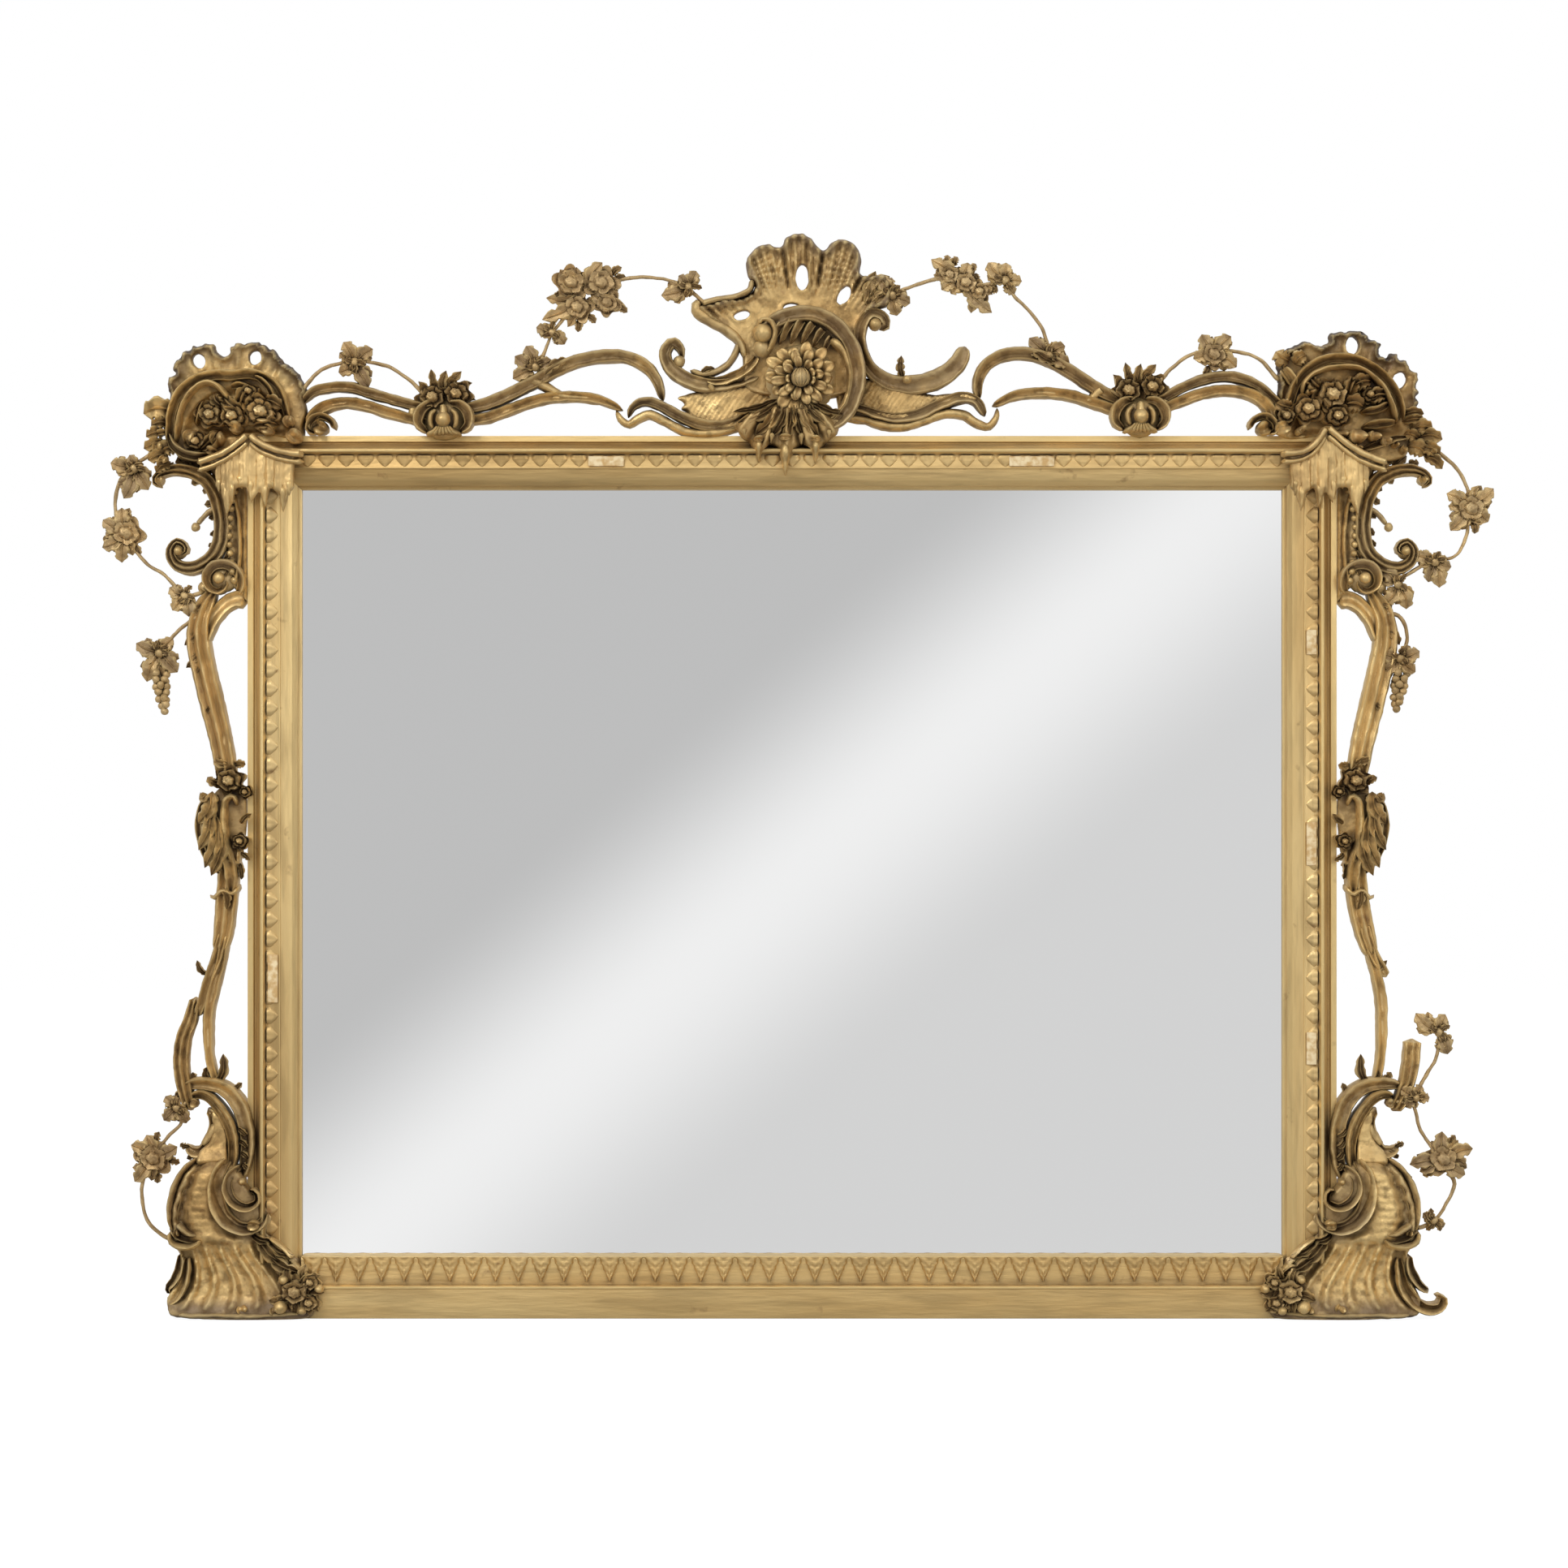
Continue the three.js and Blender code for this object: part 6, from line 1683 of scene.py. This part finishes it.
def foot_relief(x, y, rim, opening):
    """A round belly with its ribbed panel above, and a flared skirt of bent folds below."""
    out = foot_place(x)
    belly = max(0, 1 - ((out - 46) / 66) ** 2) ** 0.5 * ease((y - 80) / 26) * ease((216 - y) / 22)
    across = panel_share(out, y)
    upper = ease((y - 92) / 14)
    panel = 9 * math.exp(-(across ** 4)) - 6 * math.exp(-(((across - 1.3 - 0.14 * math.cos(y / 2.9)) / 0.28) ** 2))
    ribs = 0.9 * abs(math.cos(y * math.pi / 9)) * math.exp(-(across ** 4))
    outer_roll = 6 * math.exp(-(((rim - 8) / 5) ** 2)) * (out > 60)
    flare = 1 - ease(y / 95)
    inner, outer = -22 - 60 * flare, 84 + 22 * flare ** 2
    along = (out - inner) / (outer - inner)
    bend = along + 0.07 * math.sin(math.pi * (y - 12) / 88)
    folds = 4.0 * math.cos(math.tau * 5.6 * bend) + 1.2 * math.cos(math.tau * 11 * bend + 1.3)
    skirt = (1 - ease((y - 86) / 18)) * ease((y - 6) / 14)
    curve = 13 * math.sin(math.pi * max(0, min(1, along))) ** 0.7 * (1 - ease((y - 84) / 24))
    lip = 5 * (1 - ease((y - 14) / 16)) - 13 * ease((y - 184) / 20)
    return 36 + 13 * belly + (panel + ribs + outer_roll) * upper + folds * skirt + curve + lip \
        + 6 * (1 - ease(y / 60)) - 8 * math.exp(-((rim / 2.2) ** 2)) * ease((206 - y) / 10)


def foot_wear(x, y, rim):
    """Worn beside the bright panel, and most of all along the skirt's edge."""
    out = foot_place(x)
    if y > 96:
        return 0.55 * (1 - math.exp(-(panel_share(out, y) ** 4)))
    return 0.12 + 0.85 * (1 - ease((y - 12) / 24)) + 0.3 * ease((-out - 10) / 30)


for word, side in bothSides:

    def place(points):
        slimmer = [(50 + 0.91 * (out - 50) if side < 0 and out > 50 else out, up) for out, up in points]
        return beside(side, 0)(slimmer)

    toe = [(77, 82), (79, 60), (84, 40), (98, 21), (118, 11), (133, 15), (136, 25), (128, 28)]
    spur = [(91, 82), (93, 64), (101, 48), (112, 37), (121, 34)]
    if side < 0:
        toe = [(77, 82), (79, 60), (85, 42), (96, 27), (108, 19)]
        spur = [(87, 84), (89, 64), (97, 49), (106, 38), (104, 28)]
    parts = [
        carved_board(rounded_off(place(rocaille)), [], -18, foot_relief, foot_wear),
        strip(
            place([(22, 207), (35, 186), (37, 160), (29, 136), (12, 120), (-8, 117), (-22, 125), (-27, 140)]),
                rolled,
            [13, 19, 23, 25, 23, 19, 14, 9], [48, 60, 66, 68, 66, 58, 48], -16,
            lambda x, y: 0.2 + 0.65 * ease((160 - y) / 30), turned=side, ends=(0.05, 0.1),
        ),
        bud(*place([(-20, 121), (-2, 122)]), 13, 20, 55, 0.05),
        strip(
            place([(6, 197), (19, 186), (23, 168), (14, 151), (-2, 144), (-15, 151), (-13, 163), (-2, 165)]),
                rolled,
            [8, 12, 14, 14, 12, 9, 6], [48, 58, 62, 60, 50], -14, 0.55, turned=side,
        ),
        bead(place([(4, 177)])[0], 5, 10, 42, 0.02),
        strip(
            place([(62, 206), (80, 188), (91, 167), (97, 143), (97, 122), (92, 110)]), rolled,
            [10, 16, 19, 19, 15, 9], [48, 55, 57, 56, 48], -16, 0.5, turned=side,
        ),
        strip(place([(98, 121), (86, 111), (71, 105), (58, 106)]), rolled, [18, 21, 17, 9], [60, 68, 68, 58],
            -16, 0.9,
              turned=-side),
        strip(place([(104, 113), (99, 100), (86, 94), (71, 94), (60, 99), (56, 106)]), ridged,
            [8, 10, 11, 10, 7],
              [52, 64, 69, 66, 56], -16, 0.12),
        strip(place(toe), rolled, [8, 13, 17, 18, 17, 15, 12, 8] if side > 0 else [8, 13, 16, 16, 12],
              [56, 58, 56, 52, 46, 40], -16, 0.06 if side > 0 else 0.35, turned=-side, ends=(0.1, 0.06)),
        strip(place(spur), rolled, [10, 13, 14, 11, 6], [44, 48, 44, 34], -16, 0.7, turned=-side),
        strip(
            place([(98, 7), (76, 5), (40, 6), (0, 5), (-40, 6), (-80, 8)]), ridged, [9, 11, 9, 12, 9, 11, 9],
            [52, 60, 62, 62, 58, 48], -16, 0.95,
        ),
        strip(place([(-28, 106), (-46, 93), (-62, 76)]), ridged, [5, 7, 6, 4], [48, 54, 52, 46], -14, 0.15),
    ]
    for root, tip, width, weather in (
        ((-16, 104), (-56, 70), 20, 0.45), ((-24, 92), (-72, 58), 18, 0.55), ((-30, 98), (-60, 82), 12, 0.35),
        ((-8, 110), (-34, 100), 12, 0.5),
    ):
        parts.append(leaf(*place([root, tip]), width, low=18, rise=17, lift=6, bend=0.1 * side,
            weather=weather))
    for root, tip, width, weather in (
        ((4, 20), (0, 7), 15, 0.08), ((-36, 18), (-42, 7), 13, 0.5), ((92, 116), (89, 106), 8, 0.2),
    ):
        parts.append(bud(*place([root, tip]), width, 18, 52, weather))
    for step in range(6):
        root, tip = (82 + 2.4 * step, 184 - 13 * step), (95 + 1.8 * step, 178 - 13 * step)
        parts.append(leaf(*place([root, tip]), 10, low=12, rise=12, weather=0.6))
    assemble(f"rocaille_{word}", f"base_rocaille_{word}", parts, carvedGilding)

# ------------------------------------------------------------------ the foot flowers
# A cluster of small flowers and leaves covers the joint of the stile and the plinth.

for word, side in bothSides:
    place = beside(side, 0)
    parts = rose(place([(-64, 36)])[0], 23, 26, 54, petals=6, turn=0.4, weather=0.5)
    parts += rose(place([(-82, 22)])[0], 15, 26, 48, petals=5, turn=0.1, weather=0.45)
    parts += rose(place([(-84, 48)])[0], 14, 26, 47, petals=5, turn=0.8, weather=0.4)
    for root, tip, width in (
        ((-64, 34), (-94, 10), 15), ((-66, 40), (-96, 56), 15), ((-60, 42), (-54, 68), 14),
        ((-60, 32), (-30, 24), 15),
        ((-64, 28), (-62, 6), 13), ((-80, 36), (-102, 34), 13), ((-74, 50), (-78, 70), 12),
        ((-52, 28), (-40, 8), 12),
    ):
        parts.append(leaf(*place([root, tip]), width, low=26, rise=10, lift=6, weather=0.45))
    for at, radius, weather in (((-46, 16), 9, 0.1), ((-74, 12), 6, 0.1), ((-50, 52), 6, 0.2), ((-96, 40), 6, 0.1)):
        parts.append(bead(place([at])[0], radius, 25.4, 50, weather))
    assemble(f"flower_base_{word}", f"base_flower_{word}", parts, carvedGilding)

# ------------------------------------------------------------------ the garlands
# Twigs of gilt wire with composition leaves, roses and grapes run from piece to piece along the
# top and round the sides. The wire is bent by hand, and the leaves are pressed and stuck on.

garlandGilding = gilding(
    "garland_gilding", tone(238, 208, 152), tone(196, 162, 110), tone(128, 106, 78), tone(66, 46, 26),
    dust=0.6, rough=0.46, paintedShadeReach=0.008, aged=0.45,
)
garlands = {
    "crest_garland_left": (along_top(-1), [
        [(62.7, 80), (64.7, 108), (66.7, 131), (72, 165)],
        [(78, 188), (84.9, 201), (91.1, 205), (97.8, 202), (103.3, 192), (109, 168)],
    ], [
        ((62.2, 89), [(56.7, 103), (56, 74), (59.6, 116), (66.7, 98)], []),
        ((66.7, 133), [(62.4, 140), (70.2, 118)], []),
        ((76.2, 186), [(64, 150), (68.9, 215), (80.4, 224), (86.7, 168)],
         [((72, 198), 24), ((80.2, 198), 24), ((73.6, 166), 22), ((81.8, 172), 19)]),
        ((104, 192), [(96.7, 182), (106.2, 213), (101.3, 207)], []),
    ]),
    "crest_garland_right": (along_top(1), [
        [(131.3, 171), (126.4, 186), (119.1, 197), (112.3, 205)],
        [(101, 192), (91, 198), (87.7, 180), (82.3, 159), (78.2, 136), (75.5, 100)],
    ], [
        ((128.6, 182), [(132.7, 207), (122.6, 171), (127, 155)], []),
        ((105.4, 200), [(115.5, 228), (112.3, 189), (103.5, 224), (95.4, 159)],
         [((109.5, 208), 17), ((104, 198), 19), ((99.5, 186), 16)]),
        ((91, 200), [(96.5, 224), (90.5, 224), (85.3, 200), (87.7, 183)], []),
        ((76.3, 105), [(70.8, 116), (69.2, 93), (82.8, 126)], []),
    ]),
    "arch_garland_left": (along_top(-1), [
        [(-2, 56), (3.3, 84), (8, 93), (12.9, 97), (18.2, 94), (22.7, 88), (27.8, 72), (32.4, 50)],
    ], [((12.9, 94), [(9.8, 121), (8.4, 82), (16.7, 63), (17.8, 112)], [])]),
    "arch_garland_right": (along_top(1), [
        [(40.9, 62), (34.6, 89), (27.8, 106), (19.6, 110), (12, 108), (5.4, 98), (-1, 70)],
    ], [((21, 105), [(27.8, 100), (25.1, 131), (15.3, 129), (13.4, 89)], [((21, 105), 21)])]),
    "side_garland_left": (beside(-1, topEdge), [
        [
            (112, -16), (139, -33), (155, -44), (166, -63), (171, -86), (166, -116), (146, -147), (128, -167),
            (107, -180), (92, -196), (80, -207), (56, -202),
        ],
    ], [
        ((146, -42), [(177, -35), (160, -81), (128, -70), (153, -25)], []),
        ((156, -126), [(187, -108), (188, -144), (162, -164), (162, -93)], [((156, -126), 24)]),
        ((80, -207), [(101, -196), (97, -226), (76, -234)], []),
    ]),
    "side_garland_right": (beside(1, topEdge), [
        [
            (118, -12), (152, -39), (168, -66), (171, -98), (167, -131), (152, -156), (123, -161), (86, -182),
            (50, -196),
        ],
    ], [
        ((171, -94), [(142, -74), (147, -123), (203, -68), (196, -112)], [((173, -94), 24)]),
        ((126, -163), [(100, -154), (118, -189), (132, -196), (148, -169)], []),
        ((79, -192), [(58, -173), (62, -217), (90, -224)], []),
    ]),
    "grape_spray_left": (beside(-1, topEdge), [
        [(58, -232), (72, -238), (91, -254), (113, -280)], [(113, -280), (113, -311), (107, -359)],
    ], [((113, -280), [(144, -268), (130, -318), (90, -305), (96, -262)], [])]),
    "grape_spray_right": (beside(1, topEdge), [
        [(58, -229), (80, -233), (90, -252), (90, -270), (82, -286), (82, -311), (77, -356)],
    ], [((81, -287), [(56, -278), (60, -305), (107, -278), (102, -305)], [])]),
    "base_garland_left": (beside(-1, bracketFoot), [
        [(74, -16), (83, -23), (85, -44), (100, -60), (120, -84)],
        [(128, -96), (136, -124), (135, -152), (128, -173), (112, -189), (92, -199)],
    ], [
        ((91, -25), [(106, -10), (79, -46), (108, -42)], []),
        ((120, -89), [(150, -73), (146, -121), (131, -61), (91, -76)], [((121, -90), 25)]),
    ]),
    "base_garland_right": (beside(1, bracketFoot), [
        [(74, -18), (97, -21), (109, -57), (130, -84)],
        [(140, -100), (152, -124), (142, -148), (125, -172), (98, -184)],
        [(98, -12), (114, 14), (130, 44), (132, 76)],
    ], [
        ((102, -12), [(82, 0), (88, -25), (120, -12), (109, 4)], []),
        ((136, -92), [(94, -99), (176, -78), (166, -112), (136, -56)], [((137, -91), 25)]),
        ((125, -171), [(111, -162), (138, -180)], []),
        ((132, 72), [(102, 97), (140, 95), (143, 44)], []),
    ]),
}
grapes = {"grape_spray_left": ((113, -308), (107, -356)), "grape_spray_right": ((82, -308), (77, -353))}
for name, (place, stems, clusters) in garlands.items():
    chance = Random(name)
    parts = []
    for stem in stems:
        parts.append(strip(place(stem), ridged, [5.5, 4.6, 4.2, 4.6, 5.5], [5.5, 5, 5.5], 4, 0.55,
            ends=(0.02, 0.02)))
    for at, tips, flowers in clusters:
        x, y = place([at])[0]
        for tip in place(tips):
            way = Vector(tip) - Vector((x, y))
            size = way.length
            weather = chance.uniform(0.25, 0.75)
            parts.append(leaf((x + 0.1 * way.x, y + 0.1 * way.y), tip, min(21, 0.55 * size + 5), 4, 6,
                              bend=chance.uniform(-0.12, 0.12), lift=6, weather=weather))
            for lean in (-0.62, 0.62):
                lobe = Matrix.Rotation(lean + chance.uniform(-0.15, 0.15), 2) @ way * 0.68
                root = Vector((x, y)) + 0.22 * way
                parts.append(leaf(root, root + lobe * 0.85, min(15, 0.42 * size + 4), 4, 6,
                                  bend=0.1, lift=4, weather=weather))
        for centre, radius in flowers:
            parts += rose(place([centre])[0], radius, 1, 21, petals=5, turn=chance.uniform(0, 1.2),
                          weather=chance.uniform(0.3, 0.55))
            flower = Vector(place([centre])[0])
            for index in range(3):
                angle = chance.uniform(0, math.tau)
                reach = Vector((math.cos(angle), math.sin(angle))) * (radius + 9)
                parts.append(leaf(flower + 0.5 * reach, flower + reach, 11, 0, 8, lift=4,
                                  weather=chance.uniform(0.3, 0.6)))
        if not flowers:
            parts.append(bead((x, y), 6.5, 2, 16, 0.3))
            for index in range(4):
                angle = chance.uniform(0, math.tau)
                reach = Vector((math.cos(angle), math.sin(angle))) * chance.uniform(12, 18)
                parts.append(leaf((x, y), Vector((x, y)) + reach, 9, 6, 7, lift=5,
                weather=chance.uniform(0.2, 0.6)))
    if name in grapes:
        top, tip = (Vector(point) for point in place(grapes[name]))
        for row, count in enumerate((3, 4, 4, 3, 3, 2, 1)):
            centre = top.lerp(tip, row / 6)
            for index in range(count):
                angle = math.tau * (index / count + 0.13 * row)
                reach = (0 if count == 1 else 8.5 - 0.8 * row)
                middle = (centre.x + reach * math.cos(angle), centre.y + 0.3 * reach * math.sin(angle))
                front = 7 + reach * math.sin(angle) * 0.8
                parts.append(bead(middle, 5.2, front - 5, front + 5, chance.uniform(0.1, 0.6)))
    assemble(name.replace("garland", "twig").replace("grape_spray", "grape_twig"), name, parts,
        garlandGilding)
